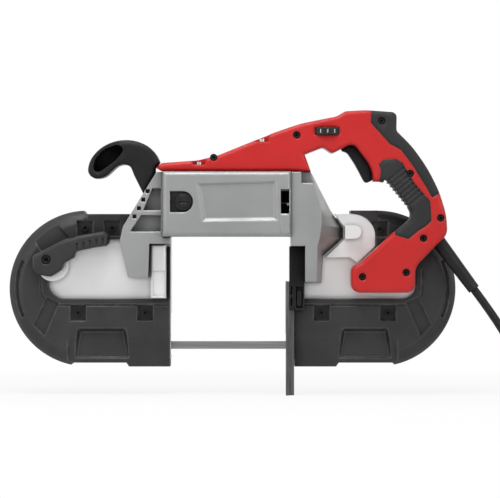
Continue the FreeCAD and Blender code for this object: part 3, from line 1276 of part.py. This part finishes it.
def half_turn(start, radius, side, rise):
    """Half a turn seen from above, right or left of the coil's middle line, climbing by a rise."""
    end = start + Vector(0, side * 2 * radius, rise)
    apex = (start + end) / 2 + Vector(side * radius, 0, 0)
    return Part.Arc(start, apex, end), end


def coil_route():
    """Half turns that spiral in on the floor, climb a layer, spiral out again and rise to the plug on top."""
    pitch = size("coil_pitch")
    lead = Vector(CORD_DIAMETER, 0, 0)
    edges = [Part.LineSegment(COIL_START - lead, COIL_START)]
    place_now = COIL_START
    inward = [size("coil_outer") - pitch / 2 * step for step in range(INWARD_HALF_TURNS + 1)]
    rises = [0] * INWARD_HALF_TURNS + [pitch] + [0] * (INWARD_HALF_TURNS - 1)
    rises.append(size("cord_radius") + size("clearance") + size("plug_radius"))
    for step, (radius, rise) in enumerate(zip(inward + inward[-2::-1], rises)):
        side = 1 if step % 2 == 0 else -1
        arc, place_now = half_turn(place_now, radius, side, rise)
        edges.append(arc)
    edges.append(Part.LineSegment(place_now, place_now - lead))
    return edges, place_now - lead


def least_self_gap(edges):
    """The smallest clear distance between turns, measured on points more than half a turn apart."""
    points = []
    for edge in edges:
        points += edge.toShape().discretize(GAP_SAMPLES)[:-1]
    gaps = []
    for index, point in enumerate(points):
        gaps += [point.distanceToPoint(other) for other in points[index + GAP_SAMPLES:]]
    return min(gaps) - 2 * size("cord_radius")


def cord_coil():
    edges, end = coil_route()
    print("coil's least gap to itself", round(least_self_gap(edges), 2))
    path = Part.Wire([edge.toShape() for edge in edges])
    return group("cord_coil", [tube(path, edges[0].StartPoint, Vector(1, 0, 0))])


def strain_relief():
    """The tapering rubber sleeve that guides the cord out of the handle."""
    sleeve = Part.makeCone(size("relief_wide"), size("relief_narrow"), size("relief_length"),
                           RELIEF_START, CORD_OUT)
    return group("strain_relief", [sleeve])


def relief_socket():
    """The round seat of the strain relief in the handle."""
    radius = size("relief_wide") + size("running_gap")
    return Part.makeCylinder(radius, size("relief_length") / 2, RELIEF_START, CORD_OUT)


def plug():
    """The moulded plug that lies on the coil."""
    radius = size("plug_radius")
    neck = size("relief_narrow")
    length = size("plug_length")
    outline = [(0, 0), (neck, 0), (neck, length * PLUG_NECK_SHARE)]
    outline += [(radius * across, length * along) for across, along in PLUG_SHARES] + [(0, length)]
    face = Part.Face(Part.Wire([edge.toShape() for edge in rounded(outline)]))
    solid = face.revolve(Vector(), Vector(0, 1, 0), 360)
    solid.rotate(Vector(), Vector(0, 0, 1), 90)
    solid.translate(coil_route()[1])
    return group("plug", [solid])


def plug_prongs():
    """Two flat blades and a round earth pin."""
    length = size("prong_length")
    width = size("prong_width")
    thickness = size("prong_thickness")
    face = coil_route()[1] - Vector(size("plug_length"), 0, 0)
    shapes = []
    for side in [-1, 1]:
        middle = face + Vector(-length, side * size("prong_spacing") / 2 - thickness / 2, 0)
        shapes.append(Part.makeBox(length, thickness, width, middle))
    earth = face - Vector(0, 0, width)
    shapes.append(Part.makeCylinder(width * EARTH_PIN_SHARE, length, earth, Vector(-1, 0, 0)))
    return group("plug_prongs", shapes)


def cord_tie():
    """A flat strap round the coil's turns on the left."""
    margin = size("tie_margin")
    wall = size("tie_wall")
    cord = size("cord_radius")
    middle = COIL_START + Vector(0, size("coil_outer"), 0)
    pitch = size("coil_pitch")
    left = middle.x - size("coil_outer") + pitch / 2 - cord - margin
    right = middle.x - size("coil_outer") + pitch / 2 * (INWARD_HALF_TURNS - 1) + cord + 2 * margin
    low = middle.z - cord - size("clearance")
    high = middle.z + pitch + cord + size("clearance")
    front = middle.y - size("tie_width") / 2
    outer = Part.makeBox(right - left + 2 * wall, size("tie_width"), high - low + 2 * wall,
                         Vector(left - wall, front, low - wall))
    inner = Part.makeBox(right - left, size("tie_width"), high - low, Vector(left, front, low))
    return group("cord_tie", [outer.cut(inner)])


main_frame()
wheel("idler_wheel", "-")
tyre("idler_tyre", "-")
wheel("drive_wheel", "")
tyre("drive_tyre", "")
blade()
bumper("left_bumper", -1, LEFT_BUMPER_SHARES, [LEFT_FOOT_SHARES, LEFT_TOP_SHARES],
       [LEFT_PANEL_SHARES, LEFT_SHELF_SHARES], LEFT_RECESS_SHARES, LEFT_LIP_SHARES, BUMPER_SCREWS["left"],
       [ring(COLLAR_X, COLLAR_Z, size("collar_radius") + size("clearance"))])
bumper("right_bumper", 1, RIGHT_BUMPER_SHARES, [RIGHT_FOOT_SHARES], [RIGHT_SHELF_SHARES],
       RIGHT_RECESS_SHARES, RIGHT_LIP_SHARES, BUMPER_SCREWS["right"], [])
bumper_screws("left_bumper_screws", BUMPER_SCREWS["left"])
bumper_screws("right_bumper_screws", BUMPER_SCREWS["right"])
motor_housing()
front_leg()
left_guide_post()
left_guide_clamp()
gear_case()
gear_cover()
stator()
armature()
cooling_fan()
motor_bearings()
brush_cap()
carbon_brushes()
guide_block("left_guide", "throat_left - clearance - rim_wall - guide_length - overrun")
guide_block("right_guide", "throat_right + rim_wall + clearance + overrun")
guide_rollers("left", THROAT_LEFT - GUIDE_IN)
guide_rollers("right", THROAT_RIGHT + GUIDE_IN)
shoe_bracket()
work_shoe()
shoe_screw()
rear_handle()
handle_screws()
handle_top_screws()
trigger()
speed_dial()
front_handle()
tension_lever()
lever_screw()
lever_collar()
tension_cam()
tension_carrier()
axle_ring("idler_bush", -WHEEL_X, AXLE_BORE, size("bush_radius"), WHEEL_FRONT, WHEEL_BACK)
axle_ring("idler_nut", -WHEEL_X, size("axle_radius"), size("nut_radius"), WHEEL_BACK + size("clearance"),
          WHEEL_BACK + size("clearance") + size("nut_thickness"))
axle_ring("drive_bearing", WHEEL_X, AXLE_BORE, size("bush_radius"), BEARING_FRONT, PLATE_BACK)
drive_shaft()
strain_relief()
power_cord()
cord_coil()
plug()
plug_prongs()
cord_tie()


def write_parts():
    """Checks every object and writes each piece to its own file."""
    document.recompute()
    for thing in document.Objects:
        if "Invalid" in thing.State or "Error" in thing.State:
            raise RuntimeError("not built: " + thing.Label)
    for piece in SUB_PARTS:
        if piece.Shape.isNull() or not piece.Shape.isValid():
            raise RuntimeError("no valid solid: " + piece.Label)
    os.makedirs("parts", exist_ok=True)
    for piece in SUB_PARTS:
        piece.Shape.exportStep(os.path.join("parts", piece.Label + ".step"))
        print(piece.Label, len(piece.Shape.Solids), round(piece.Shape.Volume))


write_parts()
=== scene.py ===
import json
import math

import bpy
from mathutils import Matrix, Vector


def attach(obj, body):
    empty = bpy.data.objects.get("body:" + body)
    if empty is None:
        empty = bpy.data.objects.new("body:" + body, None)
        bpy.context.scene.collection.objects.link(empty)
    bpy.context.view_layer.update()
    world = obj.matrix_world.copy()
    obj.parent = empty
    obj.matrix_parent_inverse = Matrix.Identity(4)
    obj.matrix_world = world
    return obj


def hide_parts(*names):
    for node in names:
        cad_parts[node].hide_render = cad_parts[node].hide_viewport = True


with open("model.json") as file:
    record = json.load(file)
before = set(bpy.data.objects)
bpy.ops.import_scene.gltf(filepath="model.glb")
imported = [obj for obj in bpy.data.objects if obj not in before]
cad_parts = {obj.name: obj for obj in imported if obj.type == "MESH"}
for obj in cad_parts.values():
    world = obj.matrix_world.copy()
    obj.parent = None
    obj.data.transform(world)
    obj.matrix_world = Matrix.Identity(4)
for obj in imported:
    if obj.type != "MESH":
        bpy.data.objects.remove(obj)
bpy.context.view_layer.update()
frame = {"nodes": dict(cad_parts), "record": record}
nodes = frame["nodes"]
joints = {joint["name"]: joint for joint in frame["record"]["behaviour"]["joints"]}

# The photograph: its size in pixels, its scale, and the pixel of the frame's origin

IMAGE_WIDTH, IMAGE_HEIGHT = 500, 498
METRES_PER_PIXEL = 0.0011
ORIGIN_PIXEL = (232.5, 395)


def photo_point(across, down, depth=0.0):
    """The point in the frame that a pixel of the photograph shows, at a depth."""
    x = (across - ORIGIN_PIXEL[0]) * METRES_PER_PIXEL
    z = (ORIGIN_PIXEL[1] - down) * METRES_PER_PIXEL
    return Vector((x, depth, z))


# Camera

CAMERA_DISTANCE = 3.2
SENSOR_WIDTH = 36


def make_camera():
    """A level camera square to the saw's motor side, whose picture has the photograph's scale."""
    data = bpy.data.cameras.new("camera")
    camera = bpy.data.objects.new("camera", data)
    bpy.context.scene.collection.objects.link(camera)
    camera.location = photo_point(IMAGE_WIDTH / 2, IMAGE_HEIGHT / 2, -CAMERA_DISTANCE)
    camera.rotation_euler = (math.pi / 2, 0, 0)
    data.sensor_width = SENSOR_WIDTH
    data.lens = SENSOR_WIDTH * CAMERA_DISTANCE / (IMAGE_WIDTH * METRES_PER_PIXEL)
    bpy.context.scene.camera = camera


# Cord

CORD_RADIUS = 0.0045
CORD_POINTS = [
    (0.264, -0.021, 0.1166), (0.2879, -0.021, 0.0845), (0.309, -0.021, 0.048), (0.34, -0.021, 0.006),
    (0.391, -0.021, 0.006),
]
COIL_OUTER = 0.06
COIL_PITCH = 0.0098
PLUG_RISE = 0.0168
INWARD_HALF_TURNS = 6
HALF_TURN_POINTS = 10
TUBE_STEPS = 6


def half_turn_points(start, radius, side, rise):
    """Control points of half a turn; they lie a little outside it, as the spline runs inside them."""
    step = math.pi / HALF_TURN_POINTS
    reach = radius * 2 / (1 + math.cos(step / 2) ** 2)
    points = []
    for number in range(HALF_TURN_POINTS):
        angle = step * (number + 0.5)
        along = side * reach * math.sin(angle)
        across = side * (radius - reach * math.cos(angle))
        up = rise * (1 - math.cos(angle)) / 2
        points.append((start[0] + along, start[1] + across, start[2] + up))
    return points


def coil_points():
    """The coil's turns: in along the floor, up one layer, out again, and up to the plug that lies on top."""
    x, y, z = CORD_POINTS[-1]
    x += 2 * CORD_RADIUS
    inward = [COIL_OUTER - COIL_PITCH / 2 * step for step in range(INWARD_HALF_TURNS + 1)]
    outward = inward[-2::-1]
    rises = [0] * INWARD_HALF_TURNS + [COIL_PITCH] + [0] * (INWARD_HALF_TURNS - 1) + [PLUG_RISE]
    points = [(x, y, z)]
    for step, (radius, rise) in enumerate(zip(inward + outward, rises)):
        side = 1 if step % 2 == 0 else -1
        points += half_turn_points((x, y, z), radius, side, rise)
        y += side * 2 * radius
        z += rise
    return points + [(x, y, z), (x - 2 * CORD_RADIUS, y, z)]


def make_cord():
    """The cord: a tube of unit depth whose points carry its radius, so that its box is no larger than it."""
    route = CORD_POINTS + coil_points()
    curve = bpy.data.curves.new("supply_cord", "CURVE")
    curve.dimensions = "3D"
    spline = curve.splines.new("NURBS")
    spline.points.add(len(route) - 1)
    for point, place in zip(spline.points, route):
        point.co = (*place, 1)
        point.radius = CORD_RADIUS
    spline.order_u = 3
    spline.use_endpoint_u = True
    curve.bevel_depth = 1
    curve.bevel_resolution = TUBE_STEPS
    curve.use_fill_caps = True
    cord = bpy.data.objects.new("supply_cord", curve)
    bpy.context.scene.collection.objects.link(cord)
    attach(cord, "saw")
    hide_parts("power_cord", "cord_coil")
    return cord


# Shader steps that the materials share

GRAIN_STRENGTH = 0.7
GLOSSIER, DULLER = -0.06, 0.08


def new_material(name):
    """A new material, with its node tree and its shader."""
    material = bpy.data.materials.new(name)
    material.use_nodes = True
    return material, material.node_tree, material.node_tree.nodes["Principled BSDF"]


def noise(tree, scale, detail, stretch=(1, 1, 1)):
    """A noise on the object's own coordinates, which may be drawn out along an axis."""
    place = tree.nodes.new("ShaderNodeTexCoord")
    pull = tree.nodes.new("ShaderNodeMapping")
    pull.inputs["Scale"].default_value = stretch
    texture = tree.nodes.new("ShaderNodeTexNoise")
    texture.inputs["Scale"].default_value = scale
    texture.inputs["Detail"].default_value = detail
    tree.links.new(place.outputs["Object"], pull.inputs["Vector"])
    tree.links.new(pull.outputs["Vector"], texture.inputs["Vector"])
    return texture.outputs["Fac"]


def spread(tree, factor, low, high, start=0.3, end=0.7):
    """Maps a factor's range from start to end onto two values."""
    ranged = tree.nodes.new("ShaderNodeMapRange")
    ranged.inputs["From Min"].default_value = start
    ranged.inputs["From Max"].default_value = end
    ranged.inputs["To Min"].default_value = low
    ranged.inputs["To Max"].default_value = high
    tree.links.new(factor, ranged.inputs["Value"])
    return ranged.outputs["Result"]


def blend(tree, factor, first, second):
    """A colour between two, where each is a colour or another node's output."""
    mix = tree.nodes.new("ShaderNodeMix")
    mix.data_type = "RGBA"
    tree.links.new(factor, mix.inputs["Factor"])
    # The node's colour sockets share their names with others, so they are taken by number.
    for socket, colour in zip([mix.inputs[6], mix.inputs[7]], [first, second]):
        if isinstance(colour, tuple):
            socket.default_value = (*colour, 1)
        else:
            tree.links.new(colour, socket)
    return mix.outputs[2]


def reckon(tree, value, operation, other=0.0):
    """A sum on a value, with a number or another node's output."""
    step = tree.nodes.new("ShaderNodeMath")
    step.operation = operation
    tree.links.new(value, step.inputs[0])
    if isinstance(other, (int, float)):
        step.inputs[1].default_value = other
    else:
        tree.links.new(other, step.inputs[1])
    return step.outputs["Value"]


def rounded_normal(tree, radius):
    """The surface's normal, softened near its edges as if they were rounded to a radius."""
    soft = tree.nodes.new("ShaderNodeBevel")
    soft.inputs["Radius"].default_value = radius
    return soft.outputs["Normal"]


def wear_and_highlight_edges(tree, width, strength):
    """How near a sharp edge a point is, broken up in patches as rubbing is; a mask for edges lightened partly
    by rubbing and partly as a painted highlight.
    """
    true = tree.nodes.new("ShaderNodeNewGeometry")
    turn = tree.nodes.new("ShaderNodeVectorMath")
    turn.operation = "DOT_PRODUCT"
    tree.links.new(rounded_normal(tree, width), turn.inputs[0])
    tree.links.new(true.outputs["Normal"], turn.inputs[1])
    near = spread(tree, turn.outputs["Value"], low=strength, high=0, start=0.8, end=0.985)
    patches = spread(tree, noise(tree, scale=140, detail=3), low=0.35, high=1)
    return reckon(tree, near, "MULTIPLY", patches)


def painted_hollow_shade(tree, reach, low, high):
    """A value that falls from high to low in corners and hollows that are narrower than a reach; it paints
    shade into them.
    """
    sky = tree.nodes.new("ShaderNodeAmbientOcclusion")
    sky.inputs["Distance"].default_value = reach
    return spread(tree, sky.outputs["AO"], low, high, start=0.25, end=0.95)


def raise_grain(tree, shader, factor, depth, normal=None):
    """Raises the surface by a factor, to a depth in metres."""
    raised = tree.nodes.new("ShaderNodeBump")
    raised.inputs["Strength"].default_value = GRAIN_STRENGTH
    raised.inputs["Distance"].default_value = depth
    tree.links.new(factor, raised.inputs["Height"])
    if normal:
        tree.links.new(normal, raised.inputs["Normal"])
    tree.links.new(raised.outputs["Normal"], shader.inputs["Normal"])


def moulding(name, dark, light, edge, rough, shine, grain, depth, wear_and_highlight_width=0.0014, roundness=0.002):
    """A moulded or coated piece: fine grain, slow changes of colour and gloss, edges lighter partly from
    rubbing and partly as a painted highlight, and painted shade that cuts the specular level in hollows.
    """
    material, tree, shader = new_material(name)
    clouds = spread(tree, noise(tree, scale=30, detail=4), low=0, high=1)
    # Painted highlight and rubbing: edges lighten towards the edge colour.
    edge_wear_and_highlight = wear_and_highlight_edges(tree, wear_and_highlight_width, strength=0.9)
    gloss = spread(tree, noise(tree, scale=80, detail=5), rough + GLOSSIER, rough + DULLER)
    tree.links.new(blend(tree, edge_wear_and_highlight, blend(tree, clouds, dark, light), edge), shader.inputs["Base Color"])
    tree.links.new(gloss, shader.inputs["Roughness"])
    # Painted shade: the specular level falls in corners and hollows.
    tree.links.new(painted_hollow_shade(tree, reach=0.02, low=0, high=shine), shader.inputs["Specular IOR Level"])
    raise_grain(tree, shader, noise(tree, grain, detail=2), depth, rounded_normal(tree, roundness))
    return material


def metal(name, dark, light, rough, metallic, stretch, depth=0.00003):
    """Turned, ground or plated metal: a lay of fine lines in its gloss and colour."""
    material, tree, shader = new_material(name)
    lines = noise(tree, scale=300, detail=6, stretch=stretch)
    colour = blend(tree, spread(tree, lines, low=0, high=1), dark, light)
    tree.links.new(colour, shader.inputs["Base Color"])
    tree.links.new(spread(tree, lines, rough + DULLER, rough + GLOSSIER), shader.inputs["Roughness"])
    shader.inputs["Metallic"].default_value = metallic
    raise_grain(tree, shader, lines, depth)
    return material


# Materials, one for each slot; a lay says how a metal's fine lines are drawn out along X, Y and Z

ROUND_LAY = (1, 0.2, 1)
PLATE_LAY = (0.06, 1, 1)
UPRIGHT_LAY = (1, 1, 0.08)
STACKED_LAY = (6, 1, 1)


def grey_casting():
    """Satin grey paint on a die casting with a sandy skin; its rounded edges carry a painted highlight and
    its corners painted shade.
    """
    material, tree, shader = new_material("grey_casting")
    clouds = spread(tree, noise(tree, scale=14, detail=6), low=0, high=1)
    colour = blend(tree, clouds, (0.255, 0.26, 0.259), (0.315, 0.32, 0.318))
    # Painted shade: the colour darkens in corners and hollows.
    colour = blend(tree, painted_hollow_shade(tree, reach=0.014, low=0, high=1), (0.07, 0.07, 0.07), colour)
    # Painted highlight: rounded edges lighten, broken up in patches.
    colour = blend(tree, wear_and_highlight_edges(tree, width=0.0018, strength=0.8), colour, (0.66, 0.665, 0.66))
    gloss = noise(tree, scale=50, detail=6)
    sand = noise(tree, scale=1600, detail=3)
    tree.links.new(colour, shader.inputs["Base Color"])
    tree.links.new(spread(tree, gloss, low=0.3, high=0.44), shader.inputs["Roughness"])
    shader.inputs["Metallic"].default_value = 0.4
    raise_grain(tree, shader, sand, depth=0.00012, normal=rounded_normal(tree, radius=0.0025))
    return material


def bare_casting():
    """The bare plate and machined castings: bright, with a fine lay along the saw and faint stains; painted
    shade in their corners and a painted highlight on their edges.
    """
    material, tree, shader = new_material("bare_casting")
    stains = spread(tree, noise(tree, scale=9, detail=5), low=0, high=1)
    colour = blend(tree, stains, (0.76, 0.765, 0.765), (0.86, 0.86, 0.855))
    # Painted shade: the colour darkens in corners and hollows.
    colour = blend(tree, painted_hollow_shade(tree, reach=0.006, low=0, high=1), (0.4, 0.4, 0.4), colour)
    # Painted highlight: edges lighten.
    colour = blend(tree, wear_and_highlight_edges(tree, width=0.0012, strength=0.5), colour, (0.9, 0.9, 0.89))
    lay = noise(tree, scale=420, detail=6, stretch=PLATE_LAY)
    tree.links.new(colour, shader.inputs["Base Color"])
    tree.links.new(spread(tree, lay, low=0.28, high=0.48), shader.inputs["Roughness"])
    shader.inputs["Metallic"].default_value = 0.5
    raise_grain(tree, shader, lay, depth=0.00004, normal=rounded_normal(tree, radius=0.0012))
    return material


def bumper_rubber():
    """Matt moulded rubber with a leathery grain, greyed along its ridges partly by rubbing and partly by a
    painted highlight.
    """
    return moulding("bumper_rubber", dark=(0.02, 0.02, 0.021), light=(0.032, 0.032, 0.033),
                    edge=(0.22, 0.22, 0.22), rough=0.42, shine=0.34, grain=1500, depth=0.00016,
                    wear_and_highlight_width=0.0026, roundness=0.003)


def red_plastic():
    """Fine-grained red plastic of the clamshell handle."""
    return moulding("red_plastic", dark=(0.47, 0.013, 0.013), light=(0.53, 0.017, 0.016),
                    edge=(0.7, 0.06, 0.05), rough=0.34, shine=0.32, grain=2000, depth=0.00006,
                    roundness=0.004)


def black_plastic():
    """Glass-filled black plastic, a little glossier than the rubber."""
    return moulding("black_plastic", dark=(0.005, 0.005, 0.0052), light=(0.011, 0.011, 0.0112),
                    edge=(0.1, 0.1, 0.1), rough=0.36, shine=0.22, grain=1800, depth=0.0001,
                    roundness=0.007)


def grip_rubber():
    """Soft overmoulded rubber with a dull, dusty surface."""
    return moulding("grip_rubber", dark=(0.01, 0.01, 0.0105), light=(0.018, 0.018, 0.0185),
                    edge=(0.11, 0.11, 0.11), rough=0.46, shine=0.32, grain=1400, depth=0.00018,
                    roundness=0.007)


def cord_rubber():
    """The cord's smooth rubber sheath and the mouldings on it."""
    return moulding("cord_rubber", dark=(0.006, 0.006, 0.0062), light=(0.011, 0.011, 0.0112),
                    edge=(0.06, 0.06, 0.06), rough=0.42, shine=0.24, grain=1500, depth=0.0001)


def wheel_tyre():
    """Smooth rubber, polished where the blade runs."""
    return moulding("wheel_tyre", dark=(0.014, 0.014, 0.014), light=(0.022, 0.022, 0.022),
                    edge=(0.07, 0.07, 0.07), rough=0.58, shine=0.3, grain=1300, depth=0.0001)


def carbon():
    """Pressed carbon brushes."""
    return moulding("carbon", dark=(0.015, 0.015, 0.015), light=(0.026, 0.026, 0.026),
                    edge=(0.06, 0.06, 0.06), rough=0.62, shine=0.3, grain=1200, depth=0.00006)


def dark_casting():
    """A black coated casting with a rough skin."""
    return moulding("dark_casting", dark=(0.004, 0.004, 0.0042), light=(0.009, 0.009, 0.0092),
                    edge=(0.12, 0.12, 0.122), rough=0.42, shine=0.2, grain=1300, depth=0.00014)


def dark_steel():
    """Black oxide screws, bright at their edges: a painted highlight, and rubbing where a driver has touched
    them.
    """
    return moulding("dark_steel", dark=(0.004, 0.004, 0.0042), light=(0.012, 0.012, 0.0122),
                    edge=(0.2, 0.2, 0.2), rough=0.3, shine=0.14, grain=900, depth=0.00003,
                    wear_and_highlight_width=0.0008, roundness=0.001)


def steel():
    """Turned steel."""
    return metal("steel", dark=(0.34, 0.34, 0.35), light=(0.46, 0.46, 0.47), rough=0.26, metallic=1,
                 stretch=ROUND_LAY)


def wheel_alloy():
    """Cast alloy wheels, turned on their faces."""
    return metal("wheel_alloy", dark=(0.5, 0.5, 0.51), light=(0.62, 0.62, 0.63), rough=0.34, metallic=0.9,
                 stretch=ROUND_LAY, depth=0.00006)


def blade_steel():
    """Blued spring steel with rolling lines along the band."""
    return metal("blade_steel", dark=(0.2, 0.2, 0.208), light=(0.3, 0.3, 0.31), rough=0.34, metallic=0.85,
                 stretch=PLATE_LAY)


def iron():
    """Stacked laminations of the stator."""
    return metal("iron", dark=(0.11, 0.11, 0.115), light=(0.19, 0.19, 0.195), rough=0.48, metallic=0.8,
                 stretch=STACKED_LAY, depth=0.00008)


def shoe_steel():
    """The work shoe's dark zinc-plated steel, with upright scratches."""
    return metal("shoe_steel", dark=(0.06, 0.06, 0.063), light=(0.13, 0.13, 0.134), rough=0.36, metallic=0.8,
                 stretch=UPRIGHT_LAY)


def bronze():
    """Sintered bronze."""
    return metal("bronze", dark=(0.38, 0.26, 0.13), light=(0.5, 0.36, 0.2), rough=0.4, metallic=0.9,
                 stretch=ROUND_LAY, depth=0.00005)


def plug_brass():
    """Bare brass prongs."""
    return metal("plug_brass", dark=(0.6, 0.5, 0.28), light=(0.7, 0.6, 0.36), rough=0.26, metallic=1,
                 stretch=PLATE_LAY)


SLOT_MAKERS = [
    grey_casting, bare_casting, bumper_rubber, red_plastic, black_plastic, grip_rubber, cord_rubber,
    wheel_tyre, carbon, dark_casting, dark_steel, steel, wheel_alloy, blade_steel, iron, shoe_steel, bronze,
    plug_brass,
]

# Materials of two pieces that differ from the rest of their slot

TICK_COUNT = 16
TICK_WIDTH_SHARE = 0.13
TICK_HEIGHT = 0.004
TICK_COLOUR = (0.55, 0.55, 0.55)


def rim_ticks(tree, joint):
    """Short marks at even turns round a joint's upright axis: 1 on a mark and 0 elsewhere."""
    place = tree.nodes.new("ShaderNodeTexCoord")
    centred = tree.nodes.new("ShaderNodeMapping")
    centred.vector_type = "TEXTURE"
    centred.inputs["Location"].default_value = joint["pos_m"]
    turn = tree.nodes.new("ShaderNodeTexGradient")
    turn.gradient_type = "RADIAL"
    axes = tree.nodes.new("ShaderNodeSeparateXYZ")
    tree.links.new(place.outputs["Object"], centred.inputs["Vector"])
    tree.links.new(centred.outputs["Vector"], turn.inputs["Vector"])
    tree.links.new(centred.outputs["Vector"], axes.inputs["Vector"])
    step = reckon(tree, reckon(tree, turn.outputs["Fac"], "MULTIPLY", TICK_COUNT), "FRACT")
    level = reckon(tree, reckon(tree, axes.outputs["Z"], "ABSOLUTE"), "LESS_THAN", TICK_HEIGHT / 2)
    return reckon(tree, reckon(tree, step, "LESS_THAN", TICK_WIDTH_SHARE), "MULTIPLY", level)


def dial_plastic():
    """The speed dial's black plastic, with light ticks printed round its rim."""
    material = moulding("dial_plastic", dark=(0.008, 0.008, 0.0082), light=(0.014, 0.014, 0.0142),
                        edge=(0.12, 0.12, 0.12), rough=0.36, shine=0.24, grain=1800, depth=0.0001)
    tree = material.node_tree
    colour = tree.nodes["Principled BSDF"].inputs["Base Color"]
    plain = colour.links[0].from_socket
    tree.links.new(blend(tree, rim_ticks(tree, joints["dial_turn"]), plain, TICK_COLOUR), colour)
    return material


def lever_plastic():
    """The tension lever's black plastic, a lighter black than the rest of its slot."""
    return moulding("lever_plastic", dark=(0.018, 0.018, 0.0185), light=(0.03, 0.03, 0.0305),
                    edge=(0.16, 0.16, 0.16), rough=0.34, shine=0.34, grain=1800, depth=0.0001,
                    roundness=0.003)


PIECE_MAKERS = {"speed_dial": dial_plastic, "tension_lever": lever_plastic}


def paint(thing, material):
    """Gives an object one material."""
    thing.data.materials.clear()
    thing.data.materials.append(material)


# Edges

WELD_REACH = 1e-6
EDGE_ANGLE = math.radians(28)
EDGE_WIDTH = 0.0007
EDGE_STEPS = 2


def soften(node):
    """Breaks the sharp edges of a CAD node, as moulded and cast pieces have them."""
    node.modifiers.new("weld", "WELD").merge_threshold = WELD_REACH
    bevel = node.modifiers.new("edges", "BEVEL")
    bevel.width = EDGE_WIDTH
    bevel.segments = EDGE_STEPS
    bevel.limit_method = "ANGLE"
    bevel.angle_limit = EDGE_ANGLE
    node.modifiers.new("normals", "WEIGHTED_NORMAL").keep_sharp = True


# Stage and light; a lamp is its name, its place in metres and its power in watts

WHITE = (1, 1, 1, 1)
FLOOR_COLOUR = (0.9, 0.9, 0.9, 1)
FLOOR_ROUGHNESS = 0.9
FLOOR_REACH = 12
SHADOW_NEAR, SHADOW_FAR = 0.3, 0.75
SHADOW_SHARE = 0.14
WORLD_FILL = 0.32
LAMPS = [("top", (-0.12, -0.5, 1.1), 9), ("left", (-1.1, -1.2, 0.6), 3.6), ("right", (1.2, -1.2, 0.6), 4)]
LAMP_WIDTH = 0.6
LAMP_TARGET = Vector((0, 0, 0.16))


def seen_rays(tree):
    """Whether the camera sees a ray's end: directly, in a mirror or through glass."""
    path = tree.nodes.new("ShaderNodeLightPath")
    total = path.outputs["Is Camera Ray"]
    for kind in ["Is Glossy Ray", "Is Transmission Ray"]:
        total = reckon(tree, total, "MAXIMUM", path.outputs[kind])
    return total


def mix_in_white(tree, share, surface, white, output):
    """Joins a surface with a white one by a share."""
    mix = tree.nodes.new("ShaderNodeMixShader")
    tree.links.new(share, mix.inputs["Fac"])
    tree.links.new(surface, mix.inputs[1])
    tree.links.new(white, mix.inputs[2])
    tree.links.new(mix.outputs["Shader"], tree.nodes[output].inputs["Surface"])


def floor_share(tree):
    """The floor's share of plain white: less near the saw, where its shadow shows, and all of it far away."""
    place = tree.nodes.new("ShaderNodeTexCoord")
    away = tree.nodes.new("ShaderNodeVectorMath")
    away.operation = "LENGTH"
    tree.links.new(place.outputs["Object"], away.inputs[0])
    white = spread(tree, away.outputs["Value"], 1 - SHADOW_SHARE, 1, SHADOW_NEAR, SHADOW_FAR)
    return reckon(tree, seen_rays(tree), "MULTIPLY", white)


def make_floor():
    """A wide pale floor that keeps the saw's shadow."""
    mesh = bpy.data.meshes.new("floor")
    corners = [(FLOOR_REACH * across, FLOOR_REACH * along, 0)
               for across, along in [(-1, -1), (1, -1), (1, 1), (-1, 1)]]
    mesh.from_pydata(corners, [], [range(len(corners))])
    floor = bpy.data.objects.new("floor", mesh)
    bpy.context.scene.collection.objects.link(floor)
    material, tree, shader = new_material("floor")
    shader.inputs["Base Color"].default_value = FLOOR_COLOUR
    shader.inputs["Roughness"].default_value = FLOOR_ROUGHNESS
    glow = tree.nodes.new("ShaderNodeEmission")
    glow.inputs["Color"].default_value = WHITE
    share = floor_share(tree)
    mix_in_white(tree, share, shader.outputs["BSDF"], glow.outputs["Emission"], "Material Output")
    paint(floor, material)


def make_world():
    """A white world that lights the saw only as a soft fill."""
    world = bpy.data.worlds.new("studio")
    bpy.context.scene.world = world
    world.use_nodes = True
    tree = world.node_tree
    fill = tree.nodes["Background"]
    fill.inputs["Color"].default_value = WHITE
    fill.inputs["Strength"].default_value = WORLD_FILL
    white = tree.nodes.new("ShaderNodeBackground")
    white.inputs["Color"].default_value = WHITE
    share = seen_rays(tree)
    mix_in_white(tree, share, fill.outputs["Background"], white.outputs["Background"], "World Output")


def make_lamp(name, place, power):
    """A soft square lamp that points at the middle of the saw."""
    data = bpy.data.lights.new(name, "AREA")
    data.energy = power
    data.size = LAMP_WIDTH
    lamp = bpy.data.objects.new(name, data)
    bpy.context.scene.collection.objects.link(lamp)
    lamp.location = place
    lamp.rotation_euler = (LAMP_TARGET - Vector(place)).to_track_quat("-Z", "Y").to_euler()


bpy.context.scene.view_settings.view_transform = "Standard"
make_camera()
materials = {maker.__name__: maker() for maker in SLOT_MAKERS}
for entry in frame["record"]["subparts"]:
    paint(nodes[entry["node"]], materials[entry["material_slot"]])
    soften(nodes[entry["node"]])
for name, maker in PIECE_MAKERS.items():
    paint(nodes[name], maker())
paint(make_cord(), materials["cord_rubber"])
make_floor()
make_world()
for lamp in LAMPS:
    make_lamp(*lamp)

bpy.context.view_layer.update()
